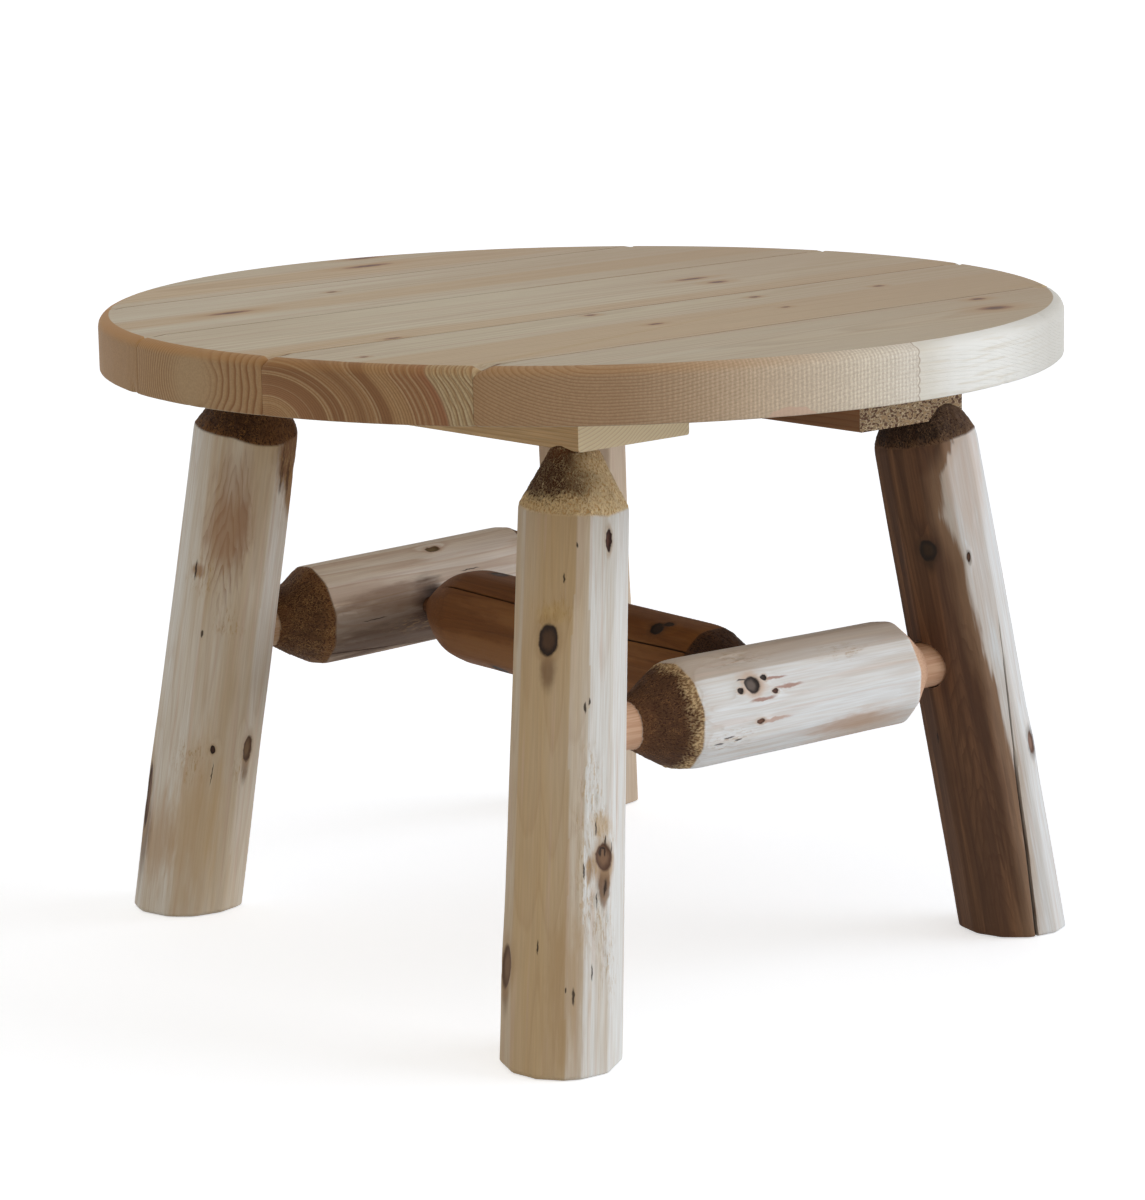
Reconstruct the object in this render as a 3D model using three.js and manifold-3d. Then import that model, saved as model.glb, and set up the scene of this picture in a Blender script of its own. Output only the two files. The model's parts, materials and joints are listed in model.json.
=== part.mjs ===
// A low round table built from lumber and peeled logs. Five edge-joined planks are cut to a
// disc and screwed to two cleats. Four splayed log legs go up into the cleats with round
// tenons behind pencil-shaped shoulders, two side stretchers tie the legs in pairs, and a
// cross stretcher ties the side stretchers.
//
// Millimetres, +Z up. X runs along the planks, Y along the cleats, front is -Y, and the
// origin is on the floor under the centre of the round top.

import * as THREE from 'three';
import { mergeVertices } from 'three/addons/utils/BufferGeometryUtils.js';
import Module from 'manifold-3d';

const wasm = await Module();
wasm.setup();

// Round top: the planks are joined to a panel, and the saw takes the trim off it all round.
const topHeight = 450;
const plankWidth = 139.7;
const plankThickness = 38.1;
const plankCount = 5;
const rimTrim = 9.25;
const topRadius = plankCount * plankWidth / 2 - rimTrim;
const middlePlankShift = 9;
const seamGap = 0.3;
const rimRound = 7.94;
const rimRoundSteps = 3;
const rimEase = 1.2;
const rimFlatLength = 15;

// Cleats under the top, with the places of their outer edges and front ends as shares of the
// top's radius
const cleatWidth = 101.6;
const cleatThickness = 38.1;
const cleatLength = 398;
const cleatEase = 2;
const cleatEdgeShares = { left: -0.4118, right: 0.4235 };
const cleatFrontShares = { left: -0.4412, right: -0.6838 };
const cleatSeat = 0.3;

// Leg mortises in the cleats, from the outer edge and from the end
const legMortiseInset = 17.5;
const legMortiseSetback = 22.5;

// Legs: no two logs are alike, so each has its shares of these sizes. The feet spread with
// the top.
const footSpreadXShare = 0.6353;
const footSpreadYShare = 0.7147;
const footSpreadX = footSpreadXShare * topRadius;
const footSpreadY = footSpreadYShare * topRadius;
const legRadius = 38;
const legShoulderDrop = 30;
const legs = {
	front_left: { footShares: [-1.17, -1.018], radiusShares: [1.03, 0.957], dropShare: 1.08 },
	back_left: { footShares: [-0.866, 0.977], radiusShares: [1.048, 1.013], dropShare: 0.87 },
	front_right: { footShares: [0.888, -0.975], radiusShares: [0.985, 0.955], dropShare: 0.45 },
	back_right: { footShares: [1.096, 1.047], radiusShares: [0.912, 0.888], dropShare: 0.86 },
};

// Stretchers. Their ends stand this far clear of the log that they go into, by shares.
const stretcherHeight = 200;
const stretcherRadius = 37.8;
const shoulderShow = 10;
const stretchers = {
	front: { from: 'front_left', to: 'front_right', heightShares: [0.965, 0.997],
		radiusShares: [1.035, 0.975], showShares: [0.95, -0.1] },
	back: { from: 'back_left', to: 'back_right', heightShares: [0.995, 1.08],
		radiusShares: [1.005, 0.997], showShares: [0.1, 0.3] },
};
const crossStretcher = { alongShares: [0.534, 0.4706], radiusShares: [0.957, 0.965],
	showShares: [0.1, 0.5] };

// Round tenons and their pencil-shaped shoulders
const tenonRadius = 15.9;
const tenonChamfer = 1.5;
const shoulderHalfAngle = THREE.MathUtils.degToRad(31);
const shoulderRound = 2.5;
const tenonClearance = 0.35;
const tenonPastAxis = 12;
const mortiseSpare = 2;
const legTenonSpare = 1.5;

// Peeled log surface: flats left by the drawknife, and how far a log is out of round
const logSides = 20;
const logStationStep = 48;
const outOfRoundShare = 0.014;
const flatSpacingShare = 0.055;

// Screws through the cleats, and dowels across the seams of the top
const screwHeadRadius = 4.6;
const screwHeadHeight = 3.4;
const screwShankRadius = 2.4;
const screwPointLength = 7;
const screwBite = 22;
const screwSink = 1.2;
const screwSides = 10;
const recessWidth = 1.3;
const recessLength = 4.6;
const recessDepth = 2;
const screwEdgeInset = 20;
const screwRowGap = 40;
const screwPairSpacing = 68;
const screwMortiseClear = 46;
const pairCrossing = 60;
const dowelRadius = 4.76;
const dowelLength = 50.8;
const dowelChamfer = 1;
const dowelSpacing = 165;
const dowelSides = 10;
const holeClearance = 0.3;

const cutOverrun = 30;
// Corners nearer to each other than this are one corner of a solid
const weldDistance = 1e-4;

// Colours and finish of the wood and the screws
const finishes = {
	plank: { color: 0xcdbda3, roughness: 0.62, metalness: 0 },
	cleat: { color: 0xd2bc98, roughness: 0.66, metalness: 0 },
	leg: { color: 0xcfc4ae, roughness: 0.74, metalness: 0 },
	stretcher: { color: 0xd3cbbb, roughness: 0.74, metalness: 0 },
	crossStretcher: { color: 0x8a5f38, roughness: 0.7, metalness: 0 },
	dowel: { color: 0xd9c49c, roughness: 0.6, metalness: 0 },
	screw: { color: 0x9a9a96, roughness: 0.38, metalness: 1 },
};

const topUnderside = topHeight - plankThickness;
const cleatTop = topUnderside - cleatSeat;
const cleatUnderside = cleatTop - cleatThickness;

// Solids
// A closed geometry becomes a solid once its shared vertices are one.
function solidOf(geometry) {
	const bare = geometry.clone();
	bare.deleteAttribute('normal');
	bare.deleteAttribute('uv');
	const merged = mergeVertices(bare, weldDistance);
	const index = merged.index.array;
	const triangles = [];
	for (let i = 0; i < index.length; i += 3) {
		const [a, b, c] = [index[i], index[i + 1], index[i + 2]];
		if (a !== b && b !== c && c !== a) triangles.push(a, b, c);
	}
	return new wasm.Manifold(new wasm.Mesh({
		numProp: 3,
		vertProperties: new Float32Array(merged.attributes.position.array),
		triVerts: new Uint32Array(triangles),
	}));
}

function geometryOf(solid) {
	const mesh = solid.getMesh();
	const geometry = new THREE.BufferGeometry();
	geometry.setAttribute('position', new THREE.BufferAttribute(new Float32Array(mesh.vertProperties), 3));
	geometry.setIndex(new THREE.BufferAttribute(new Uint32Array(mesh.triVerts), 1));
	geometry.computeVertexNormals();
	return geometry;
}

// Pieces are placed meshes. Tools are placed the same way, and cut where they lie.
const table = new THREE.Group();

function makePiece(name, geometry, finish) {
	const material = new THREE.MeshStandardMaterial({ ...finishes[finish], flatShading: true });
	const mesh = new THREE.Mesh(geometry, material);
	mesh.name = name;
	return mesh;
}

function alongLine(mesh, from, to) {
	const direction = to.clone().sub(from).normalize();
	mesh.position.copy(from);
	mesh.quaternion.setFromUnitVectors(new THREE.Vector3(0, 0, 1), direction);
	return mesh;
}

function cut(piece, tools) {
	piece.updateMatrixWorld(true);
	const toPiece = piece.matrixWorld.clone().invert();
	let solid = solidOf(piece.geometry);
	for (const tool of tools) {
		tool.updateMatrixWorld(true);
		const placed = tool.geometry.clone().applyMatrix4(toPiece.clone().multiply(tool.matrixWorld));
		solid = solid.subtract(solidOf(placed));
	}
	piece.geometry = geometryOf(solid);
}

// Turned and peeled shapes
// The profile lists [radius, height] up the axis, from the axis and back to it.
function revolve(profile, sides) {
	const points = profile.map(([radius, height]) => new THREE.Vector2(radius, height));
	return new THREE.LatheGeometry(points, sides).rotateX(Math.PI / 2);
}

// A log isn't round: its flats vary in width, and it swells and bends a little on its way up.
// The tenon is turned true, so the unevenness fades out down the shoulder.
function peeled(profile, bodyRadius, trueRadius, seed) {
	const geometry = revolve(profile, logSides);
	const position = geometry.attributes.position;
	for (let i = 0; i < position.count; i++) {
		const [x, y, z] = [position.getX(i), position.getY(i), position.getZ(i)];
		const radius = Math.hypot(x, y);
		const angle = Math.atan2(y, x);
		const along = z / logStationStep;
		const rough = THREE.MathUtils.clamp((radius - trueRadius) / (bodyRadius - trueRadius), 0, 1);
		const swell = Math.sin(2 * angle + seed + 0.31 * along) + 0.7 * Math.sin(3 * angle - 2 * seed - 0.23 * along)
			+ 0.8 * Math.sin(0.9 * along + 3 * seed);
		const newAngle = angle + flatSpacingShare * (Math.sin(2 * angle + 2 * seed) + Math.sin(5 * angle - seed));
		const newRadius = radius * (1 + outOfRoundShare * rough * swell);
		position.setXY(i, newRadius * Math.cos(newAngle), newRadius * Math.sin(newAngle));
	}
	return geometry;
}

// How long a shoulder is from the log's radius down to the tenon's
const shoulderLength = (radius) => (radius - tenonRadius) / Math.tan(shoulderHalfAngle);

// The profile from a shoulder out to the end of its tenon, the log's own radius first.
// With a clearance it is the hole that the tenon goes into.
function tenonProfile(radius, shoulderAt, tenonEnd, clearance = 0, spare = 0) {
	const slope = shoulderRound * Math.tan(shoulderHalfAngle);
	return [
		[radius + clearance, shoulderAt - shoulderRound],
		[radius - slope / 2 + clearance, shoulderAt + shoulderRound / 2],
		[tenonRadius + clearance, shoulderAt + shoulderLength(radius)],
		[tenonRadius + clearance, tenonEnd - tenonChamfer + spare],
		[tenonRadius - tenonChamfer + clearance, tenonEnd + spare],
	];
}

const mirrored = (profile, length) => profile.map(([radius, height]) => [radius, length - height]).reverse();

function bodyStations(from, to, fromRadius, toRadius) {
	const count = Math.max(2, Math.round((to - from) / logStationStep));
	return Array.from({ length: count - 1 }, (_, i) => {
		const share = (i + 1) / count;
		return [THREE.MathUtils.lerp(fromRadius, toRadius, share), THREE.MathUtils.lerp(from, to, share)];
	});
}

// Legs
// A leg's line runs from its foot on the floor to its mortise in the cleat's underside.
const cleats = {
	left: { edge: cleatEdgeShares.left * topRadius, inward: 1, front: cleatFrontShares.left * topRadius },
	right: { edge: cleatEdgeShares.right * topRadius, inward: -1, front: cleatFrontShares.right * topRadius },
};

for (const [name, leg] of Object.entries(legs)) {
	const [end, side] = name.split('_');
	const cleat = cleats[side];
	const setback = end === 'front' ? legMortiseSetback : cleatLength - legMortiseSetback;
	leg.foot = new THREE.Vector3(leg.footShares[0] * footSpreadX, leg.footShares[1] * footSpreadY, 0);
	leg.head = new THREE.Vector3(cleat.edge + cleat.inward * legMortiseInset, cleat.front + setback,
		cleatUnderside);
	leg.line = leg.head.clone().sub(leg.foot);
	leg.rise = leg.line.z / leg.line.length();
	leg.radii = leg.radiusShares.map((share) => share * legRadius);
	leg.shoulderAt = (cleatUnderside - leg.dropShare * legShoulderDrop) / leg.rise;
	const endTilt = tenonRadius * Math.sqrt(1 - leg.rise ** 2);
	leg.tenonEnd = (topUnderside - legTenonSpare - endTilt) / leg.rise;
}

const pointOnLeg = (leg, height) => leg.foot.clone().addScaledVector(leg.line, height / leg.line.z);

function radiusOnLeg(leg, height) {
	return THREE.MathUtils.lerp(leg.radii[0], leg.radii[1], height / leg.line.z);
}

const seeds = { front_left: 0.4, back_left: 1.7, front_right: 2.9, back_right: 4.1, front: 5.2, back: 0.9, cross: 3.5 };

function makeLeg(name) {
	const leg = legs[name];
	const overrun = legRadius;
	const profile = [[0, -overrun], [leg.radii[0], -overrun],
		...bodyStations(-overrun, leg.shoulderAt, leg.radii[0], leg.radii[1]),
		...tenonProfile(leg.radii[1], leg.shoulderAt, leg.tenonEnd), [0, leg.tenonEnd]];
	const geometry = peeled(profile, leg.radii[1], tenonRadius, seeds[name]);
	return alongLine(makePiece(`leg_${name}`, geometry, 'leg'), leg.foot, leg.head);
}

function legTool(name) {
	const leg = legs[name];
	const hole = tenonProfile(leg.radii[1], leg.shoulderAt, leg.tenonEnd, tenonClearance, cutOverrun);
	const profile = [[0, hole[0][1]], ...hole, [0, leg.tenonEnd + cutOverrun]];
	const geometry = peeled(profile, leg.radii[1], tenonRadius + tenonClearance, seeds[name]);
	return alongLine(makePiece('leg_tool', geometry, 'leg'), leg.foot, leg.head);
}

// Everything under the floor is sawn off, so the feet stand flat.
function floorTool() {
	const span = 4 * (footSpreadX + footSpreadY);
	const depth = 4 * legRadius;
	const tool = makePiece('floor_tool', new THREE.BoxGeometry(span, span, depth), 'leg');
	tool.position.z = -depth / 2;
	return tool;
}

// Stretchers
// A stretcher's line runs from axis to axis of the two logs that it ties.
function setStretcher(stretcher, ends, hostRadii) {
	[stretcher.start, stretcher.end] = ends;
	stretcher.length = stretcher.start.distanceTo(stretcher.end);
	stretcher.radii = stretcher.radiusShares.map((share) => share * stretcherRadius);
	stretcher.reach = stretcher.radii.map((radius, i) =>
		hostRadii[i] + shoulderLength(radius) + stretcher.showShares[i] * shoulderShow);
}

for (const stretcher of Object.values(stretchers)) {
	const hosts = [legs[stretcher.from], legs[stretcher.to]];
	const heights = stretcher.heightShares.map((share) => share * stretcherHeight);
	setStretcher(stretcher, hosts.map((leg, i) => pointOnLeg(leg, heights[i])),
		hosts.map((leg, i) => radiusOnLeg(leg, heights[i])));
}

setStretcher(crossStretcher,
	[stretchers.front, stretchers.back].map((side, i) =>
		side.start.clone().lerp(side.end, crossStretcher.alongShares[i])),
	[stretchers.front, stretchers.back].map((side, i) =>
		THREE.MathUtils.lerp(side.radii[0], side.radii[1], crossStretcher.alongShares[i])));

function makeStretcher(name, stretcher, finish) {
	const { length, radii, reach } = stretcher;
	const near = mirrored(tenonProfile(radii[0], length - reach[0], length + tenonPastAxis), length);
	const far = tenonProfile(radii[1], length - reach[1], length + tenonPastAxis);
	const profile = [[0, -tenonPastAxis], ...near,
		...bodyStations(reach[0] + shoulderRound, length - reach[1] - shoulderRound, radii[0], radii[1]),
		...far, [0, length + tenonPastAxis]];
	const geometry = peeled(profile, Math.min(...radii), tenonRadius, seeds[name]);
	return alongLine(makePiece(`stretcher_${name}`, geometry, finish), stretcher.start, stretcher.end);
}

// The blind mortise for one end of a stretcher: its shoulder and tenon, a little larger
function stretcherTool(name, stretcher, end) {
	const { length, radii, reach } = stretcher;
	const hole = tenonProfile(radii[end], length - reach[end], length + tenonPastAxis, tenonClearance, mortiseSpare);
	let profile = [[0, hole[0][1]], ...hole, [0, length + tenonPastAxis + mortiseSpare]];
	if (end === 0) profile = mirrored(profile, length);
	const geometry = peeled(profile, Math.min(...radii), tenonRadius + tenonClearance, seeds[name]);
	return alongLine(makePiece('stretcher_tool', geometry, 'stretcher'), stretcher.start, stretcher.end);
}

const legPieces = Object.fromEntries(Object.keys(legs).map((name) => [name, makeLeg(name)]));
const sidePieces = {
	front: makeStretcher('front', stretchers.front, 'stretcher'),
	back: makeStretcher('back', stretchers.back, 'stretcher'),
};
const crossPiece = makeStretcher('cross', crossStretcher, 'crossStretcher');

for (const [name, stretcher] of Object.entries(stretchers)) {
	cut(legPieces[stretcher.from], [stretcherTool(name, stretcher, 0), floorTool()]);
	cut(legPieces[stretcher.to], [stretcherTool(name, stretcher, 1), floorTool()]);
}
cut(sidePieces.front, [stretcherTool('cross', crossStretcher, 0)]);
cut(sidePieces.back, [stretcherTool('cross', crossStretcher, 1)]);

// Planks of the top
// Each plank lies between two seams, and its ends are the disc's own arcs.
const seamLines = Array.from({ length: plankCount - 1 }, (_, i) =>
	middlePlankShift + (i + 1 - plankCount / 2) * plankWidth);

const plankSpan = (i) => [seamLines[i - 1] ?? -topRadius, seamLines[i] ?? topRadius];

// The whole disc, with its lower edge eased and its upper edge rounded over
function discGeometry() {
	const sides = 4 * Math.round(Math.PI * topRadius / (2 * rimFlatLength));
	const rounding = Array.from({ length: rimRoundSteps + 1 }, (_, i) => {
		const angle = (i / rimRoundSteps) * Math.PI / 2;
		return [topRadius - rimRound * (1 - Math.cos(angle)), topHeight - rimRound * (1 - Math.sin(angle))];
	});
	return revolve([[0, topUnderside], [topRadius - rimEase, topUnderside], [topRadius, topUnderside + rimEase],
		...rounding, [0, topHeight]], sides);
}

function makePlank(i, disc) {
	const [front, back] = plankSpan(i);
	const slabFront = i === 0 ? -2 * topRadius : front + seamGap / 2;
	const slabBack = i === plankCount - 1 ? 2 * topRadius : back - seamGap / 2;
	const slab = new THREE.BoxGeometry(4 * topRadius, slabBack - slabFront, 4 * plankThickness);
	slab.translate(0, (slabFront + slabBack) / 2, topHeight);
	return makePiece(`plank_${i + 1}`, geometryOf(disc.intersect(solidOf(slab))), 'plank');
}

// Cleats: surfaced lumber with eased long edges and square-sawn ends
function makeCleat(side) {
	const { edge, inward, front } = cleats[side];
	const [w, h, r] = [cleatWidth / 2, cleatThickness / 2, cleatEase];
	const section = new THREE.Shape();
	section.moveTo(w, -h + r);
	section.absarc(w - r, h - r, r, 0, Math.PI / 2);
	section.absarc(-w + r, h - r, r, Math.PI / 2, Math.PI);
	section.absarc(-w + r, -h + r, r, Math.PI, 3 * Math.PI / 2);
	section.absarc(w - r, -h + r, r, 3 * Math.PI / 2, 2 * Math.PI);
	const geometry = new THREE.ExtrudeGeometry(section, { depth: cleatLength, bevelEnabled: false, curveSegments: 2 });
	const cleat = makePiece(`cleat_${side}`, geometry, 'cleat');
	cleat.rotation.x = Math.PI / 2;
	cleat.position.set(edge + inward * w, front + cleatLength, cleatTop - h);
	return cleat;
}

// Screws: countersunk, driven up through a cleat into each plank that it crosses
const screwLength = cleatThickness + cleatSeat + screwBite - screwSink;
const screwStart = cleatUnderside + screwSink;

function screwProfile(clearance = 0, sinkSpare = 0, pointSpare = 0) {
	const length = screwLength + pointSpare;
	return [
		[0, -sinkSpare],
		[screwHeadRadius + clearance, -sinkSpare],
		[screwHeadRadius + clearance, 0],
		[screwShankRadius + clearance, screwHeadHeight],
		[screwShankRadius + clearance, length - screwPointLength],
		[0, length],
	];
}

function screwPlaces(side) {
	const { edge, inward, front } = cleats[side];
	const innerRow = edge + inward * (cleatWidth - screwEdgeInset);
	const outerRow = innerRow - inward * screwRowGap;
	const heads = Object.entries(legs).filter(([name]) => name.endsWith(side)).map(([, leg]) => leg.head);
	const places = [];
	for (let i = 0; i < plankCount; i++) {
		const [plankFront, plankBack] = plankSpan(i);
		const from = Math.max(plankFront, front);
		const to = Math.min(plankBack, front + cleatLength);
		if (to - from < screwEdgeInset) continue;
		const middle = (from + to) / 2;
		if (to - from < pairCrossing) {
			places.push([innerRow, middle]);
			continue;
		}
		const offset = Math.min(screwPairSpacing, (to - from) / 2) / 2;
		const second = middle + offset;
		const clear = heads.every((head) => Math.hypot(head.x - outerRow, head.y - second) > screwMortiseClear);
		places.push([innerRow, middle - offset], [clear ? outerRow : innerRow, second]);
	}
	return places;
}

function makeScrew(name, [x, y]) {
	const screw = makePiece(name, revolve(screwProfile(), screwSides), 'screw');
	screw.position.set(x, y, screwStart);
	const slot = makePiece('slot', new THREE.BoxGeometry(recessLength, recessWidth, 2 * recessDepth), 'screw');
	const crossSlot = makePiece('slot', new THREE.BoxGeometry(recessWidth, recessLength, 2 * recessDepth), 'screw');
	slot.position.copy(screw.position);
	crossSlot.position.copy(screw.position);
	cut(screw, [slot, crossSlot]);
	return screw;
}

function screwTool([x, y]) {
	const tool = makePiece('screw_tool', revolve(screwProfile(holeClearance, cutOverrun, holeClearance), screwSides),
		'screw');
	tool.position.set(x, y, screwStart);
	return tool;
}

// Dowels across each seam, half in either plank
const dowelPlaces = seamLines.flatMap((seam, i) => [-1, 0, 1].map((step) => ({
	name: `dowel_${i + 1}_${step + 2}`, plank: i, x: step * dowelSpacing, y: seam,
})));

function dowelShape(clearance = 0) {
	const half = dowelLength / 2 + clearance;
	const radius = dowelRadius + clearance;
	return revolve([[0, -half], [radius - dowelChamfer, -half], [radius, -half + dowelChamfer],
		[radius, half - dowelChamfer], [radius - dowelChamfer, half], [0, half]], dowelSides);
}

function makeDowel({ name, x, y }, clearance = 0) {
	const dowel = makePiece(name, dowelShape(clearance), 'dowel');
	dowel.rotation.x = Math.PI / 2;
	dowel.position.set(x, y, topHeight - plankThickness / 2);
	return dowel;
}

// Assembly: cleats with their mortises and screw holes, then the planks with theirs
const screwTools = [];
for (const side of Object.keys(cleats)) {
	const places = screwPlaces(side);
	const tools = places.map(screwTool);
	const cleat = makeCleat(side);
	const legNames = Object.keys(legs).filter((name) => name.endsWith(side));
	cut(cleat, [...legNames.map(legTool), ...tools]);
	table.add(cleat, ...places.map((place, i) => makeScrew(`screw_${side}_${i + 1}`, place)));
	screwTools.push(...tools);
}

const disc = solidOf(discGeometry());
for (let i = 0; i < plankCount; i++) {
	const plank = makePlank(i, disc);
	const [front, back] = plankSpan(i);
	const dowelTools = dowelPlaces.filter(({ plank: seam }) => seam === i || seam === i - 1)
		.map((place) => makeDowel(place, holeClearance));
	cut(plank, [...screwTools.filter(({ position: { y } }) => y > front && y < back), ...dowelTools]);
	table.add(plank);
}

table.add(...dowelPlaces.map((place) => makeDowel(place)));
table.add(...Object.values(legPieces), ...Object.values(sidePieces), crossPiece);

export default table;
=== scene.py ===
# A low round table of softwood lumber and peeled logs, dressed for its portrait.
# Metres, +Z up. X runs along the planks, Y along the cleats, and the front is -Y.

import json
import math

import bpy
import numpy as np
from mathutils import Matrix, Vector


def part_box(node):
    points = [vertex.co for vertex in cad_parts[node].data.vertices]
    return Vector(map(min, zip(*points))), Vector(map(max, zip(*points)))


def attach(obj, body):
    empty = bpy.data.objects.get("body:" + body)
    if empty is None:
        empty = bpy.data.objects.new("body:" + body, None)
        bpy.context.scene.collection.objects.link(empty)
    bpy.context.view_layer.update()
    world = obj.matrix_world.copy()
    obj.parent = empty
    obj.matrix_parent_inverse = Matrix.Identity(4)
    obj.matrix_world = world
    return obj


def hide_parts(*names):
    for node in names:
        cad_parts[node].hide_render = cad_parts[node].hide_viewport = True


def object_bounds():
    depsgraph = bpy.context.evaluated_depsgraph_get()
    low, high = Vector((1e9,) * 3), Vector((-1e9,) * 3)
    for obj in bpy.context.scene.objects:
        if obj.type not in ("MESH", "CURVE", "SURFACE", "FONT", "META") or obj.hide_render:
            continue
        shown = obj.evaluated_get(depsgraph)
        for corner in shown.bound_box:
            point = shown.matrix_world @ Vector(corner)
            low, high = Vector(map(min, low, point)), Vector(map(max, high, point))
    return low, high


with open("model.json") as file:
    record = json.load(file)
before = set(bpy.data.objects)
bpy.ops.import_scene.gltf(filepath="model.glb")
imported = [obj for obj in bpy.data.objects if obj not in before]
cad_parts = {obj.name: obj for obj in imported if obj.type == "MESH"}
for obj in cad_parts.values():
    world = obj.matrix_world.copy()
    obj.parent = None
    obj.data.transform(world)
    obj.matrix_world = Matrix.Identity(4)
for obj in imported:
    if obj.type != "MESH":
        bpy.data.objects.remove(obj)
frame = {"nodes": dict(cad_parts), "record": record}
cad_low, cad_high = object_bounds()


# Planks of the round top
# Five dressed softwood boards, edge-joined, sawn to a disc and rounded over along the upper
# edge. The faces are sanded and bare. Round the rim the saw left the end grain open.
top_radius = cad_high[1]
top_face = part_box("plank_3")[1].z
top_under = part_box("plank_3")[0].z
rim_round = 0.0079
rim_ease = 0.0014
arris_angle = math.radians(14)
seam_ease = 0.0012
seam_crack = 0.0011
seam_points = 40
arc_step = 0.0025
rim_wave = 0.0002


class Flow:
    """A shader node's output. Sums on it, with numbers or with places, make nodes too."""

    def __init__(self, tree, socket):
        self.tree, self.socket = tree, socket

    def __add__(self, other):
        return reckon("ADD", self, other)

    def __sub__(self, other):
        return reckon("SUBTRACT", self, other)

    def __mul__(self, other):
        return reckon("MULTIPLY", self, other)

    def __truediv__(self, other):
        return reckon("DIVIDE", self, other)

    def __abs__(self):
        return reckon("ABSOLUTE", self)


def feed(node, inputs):
    """Sets a node's inputs, each to a plain value or to another node's output."""
    for key, value in dict(inputs).items():
        if isinstance(value, Flow):
            value.tree.links.new(value.socket, node.inputs[key])
        else:
            node.inputs[key].default_value = value


def add(tree, kind, inputs=(), **settings):
    """A new shader node."""
    node = tree.nodes.new(kind)
    for name, value in settings.items():
        setattr(node, name, value)
    feed(node, inputs)
    return node


def flow(tree, kind, inputs=(), out=0, **settings):
    """One output of a new shader node."""
    return Flow(tree, add(tree, kind, inputs, **settings).outputs[out])


def tree_of(*values):
    return next(value.tree for value in values if isinstance(value, Flow))


def reckon(operation, *values):
    """One sum on numbers, or on places where one of the values is a place."""
    places = [value for value in values if isinstance(value, tuple)]
    places += [value for value in values if isinstance(value, Flow) and value.socket.type != "VALUE"]
    kind = "ShaderNodeVectorMath" if places else "ShaderNodeMath"
    out = "Value" if operation in {"LENGTH", "DOT_PRODUCT"} else 0
    return flow(tree_of(*values), kind, enumerate(values), out, operation=operation)


def parts_of(place):
    """The three numbers of a place."""
    parted = add(place.tree, "ShaderNodeSeparateXYZ", {0: place})
    return [Flow(place.tree, socket) for socket in parted.outputs]


def place_of(x, y, z):
    return flow(x.tree, "ShaderNodeCombineXYZ", {0: x, 1: y, 2: z})


def fade(value, low, high, at_low=0.0, at_high=1.0):
    """Eases from at_low to at_high as the value goes from low to high."""
    inputs = {"Value": value, "From Min": low, "From Max": high, "To Min": at_low, "To Max": at_high}
    return flow(value.tree, "ShaderNodeMapRange", inputs, interpolation_type="SMOOTHSTEP")


def tone(colour):
    """A colour given in 0 to 255, as the shader wants it. Any other passes through."""
    if isinstance(colour, Flow) or len(colour) == 4:
        return colour
    parts = [part / 255 for part in colour]
    linear = [part / 12.92 if part < 0.04045 else ((part + 0.055) / 1.055) ** 2.4 for part in parts]
    return (*linear, 1.0)


def tint(share, under, over, how="MIX"):
    """Lays one colour over another."""
    inputs = {0: share, 6: tone(under), 7: tone(over)}
    return flow(tree_of(share, under, over), "ShaderNodeMix", inputs, 2, data_type="RGBA", blend_type=how)


def mottle(place, per_metre, detail=2.0, roughness=0.5, out="Fac"):
    """Cloudy noise, with its own scale along each axis."""
    inputs = {"Vector": place * per_metre, "Scale": 1.0, "Detail": detail, "Roughness": roughness}
    return flow(place.tree, "ShaderNodeTexNoise", inputs, out)


def stops(value, *marks):
    """A colour band: pairs of a position and a colour."""
    ramp = add(value.tree, "ShaderNodeValToRGB", {0: value})
    band = ramp.color_ramp.elements
    for _ in range(len(marks) - 2):
        band.new(0.5)
    for element, (position, colour) in zip(band, marks):
        element.position = position
        element.color = tone(colour)
    return Flow(value.tree, ramp.outputs["Color"])


def pith_distance(place, bend, shift):
    """How far a point is from a pith that lies along Z, on wood that grew a little crooked."""
    drift = mottle(place + shift, (16, 16, 2.2), 1.0, out="Color") - (0.5, 0.5, 0.5)
    return reckon("LENGTH", (drift * (bend, bend, 0) + place) * (1, 1, 0))


def growth_rings(radius, per_metre, place, shift, uneven=2.0):
    """How far through its growth ring a point is, 0 to 1."""
    jitter = mottle(place + shift, (45, 45, 1.5), 1.0) * uneven
    return reckon("FRACT", radius * per_metre + jitter)


def knot_reach():
    """A node group: how far a point is from a knot, where the knot's own edge is 1."""
    group = bpy.data.node_groups.new("knot_reach", "ShaderNodeTree")
    for name in ("Place", "Centre", "Size", "Turn"):
        kind = "NodeSocketFloat" if name == "Turn" else "NodeSocketVector"
        group.interface.new_socket(name, in_out="INPUT", socket_type=kind)
    group.interface.new_socket("Reach", in_out="OUTPUT", socket_type="NodeSocketFloat")
    place, centre, size, turn = (flow(group, "NodeGroupInput", out=out) for out in range(4))
    cloud = mottle(place, (220, 220, 160), out="Color") - (0.5, 0.5, 0.5)
    away = cloud * (0.003, 0.003, 0.003) + place - centre
    turned = flow(group, "ShaderNodeVectorRotate", {"Vector": away, "Angle": turn}, rotation_type="Z_AXIS")
    add(group, "NodeGroupOutput", {"Reach": reckon("LENGTH", turned / size)})
    return group


knot_group = knot_reach()


def reach_of(place, centre, size, turn=0.0):
    """How far each point is from one knot or mark, as shares of its size."""
    inputs = {"Place": place, "Centre": centre, "Size": size, "Turn": turn}
    return flow(place.tree, "ShaderNodeGroup", inputs, node_tree=knot_group)


def new_material(name):
    """A material, and the object's own coordinates in it."""
    material = bpy.data.materials.new(name)
    material.use_nodes = True
    return material, flow(material.node_tree, "ShaderNodeTexCoord", out="Object")


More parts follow.
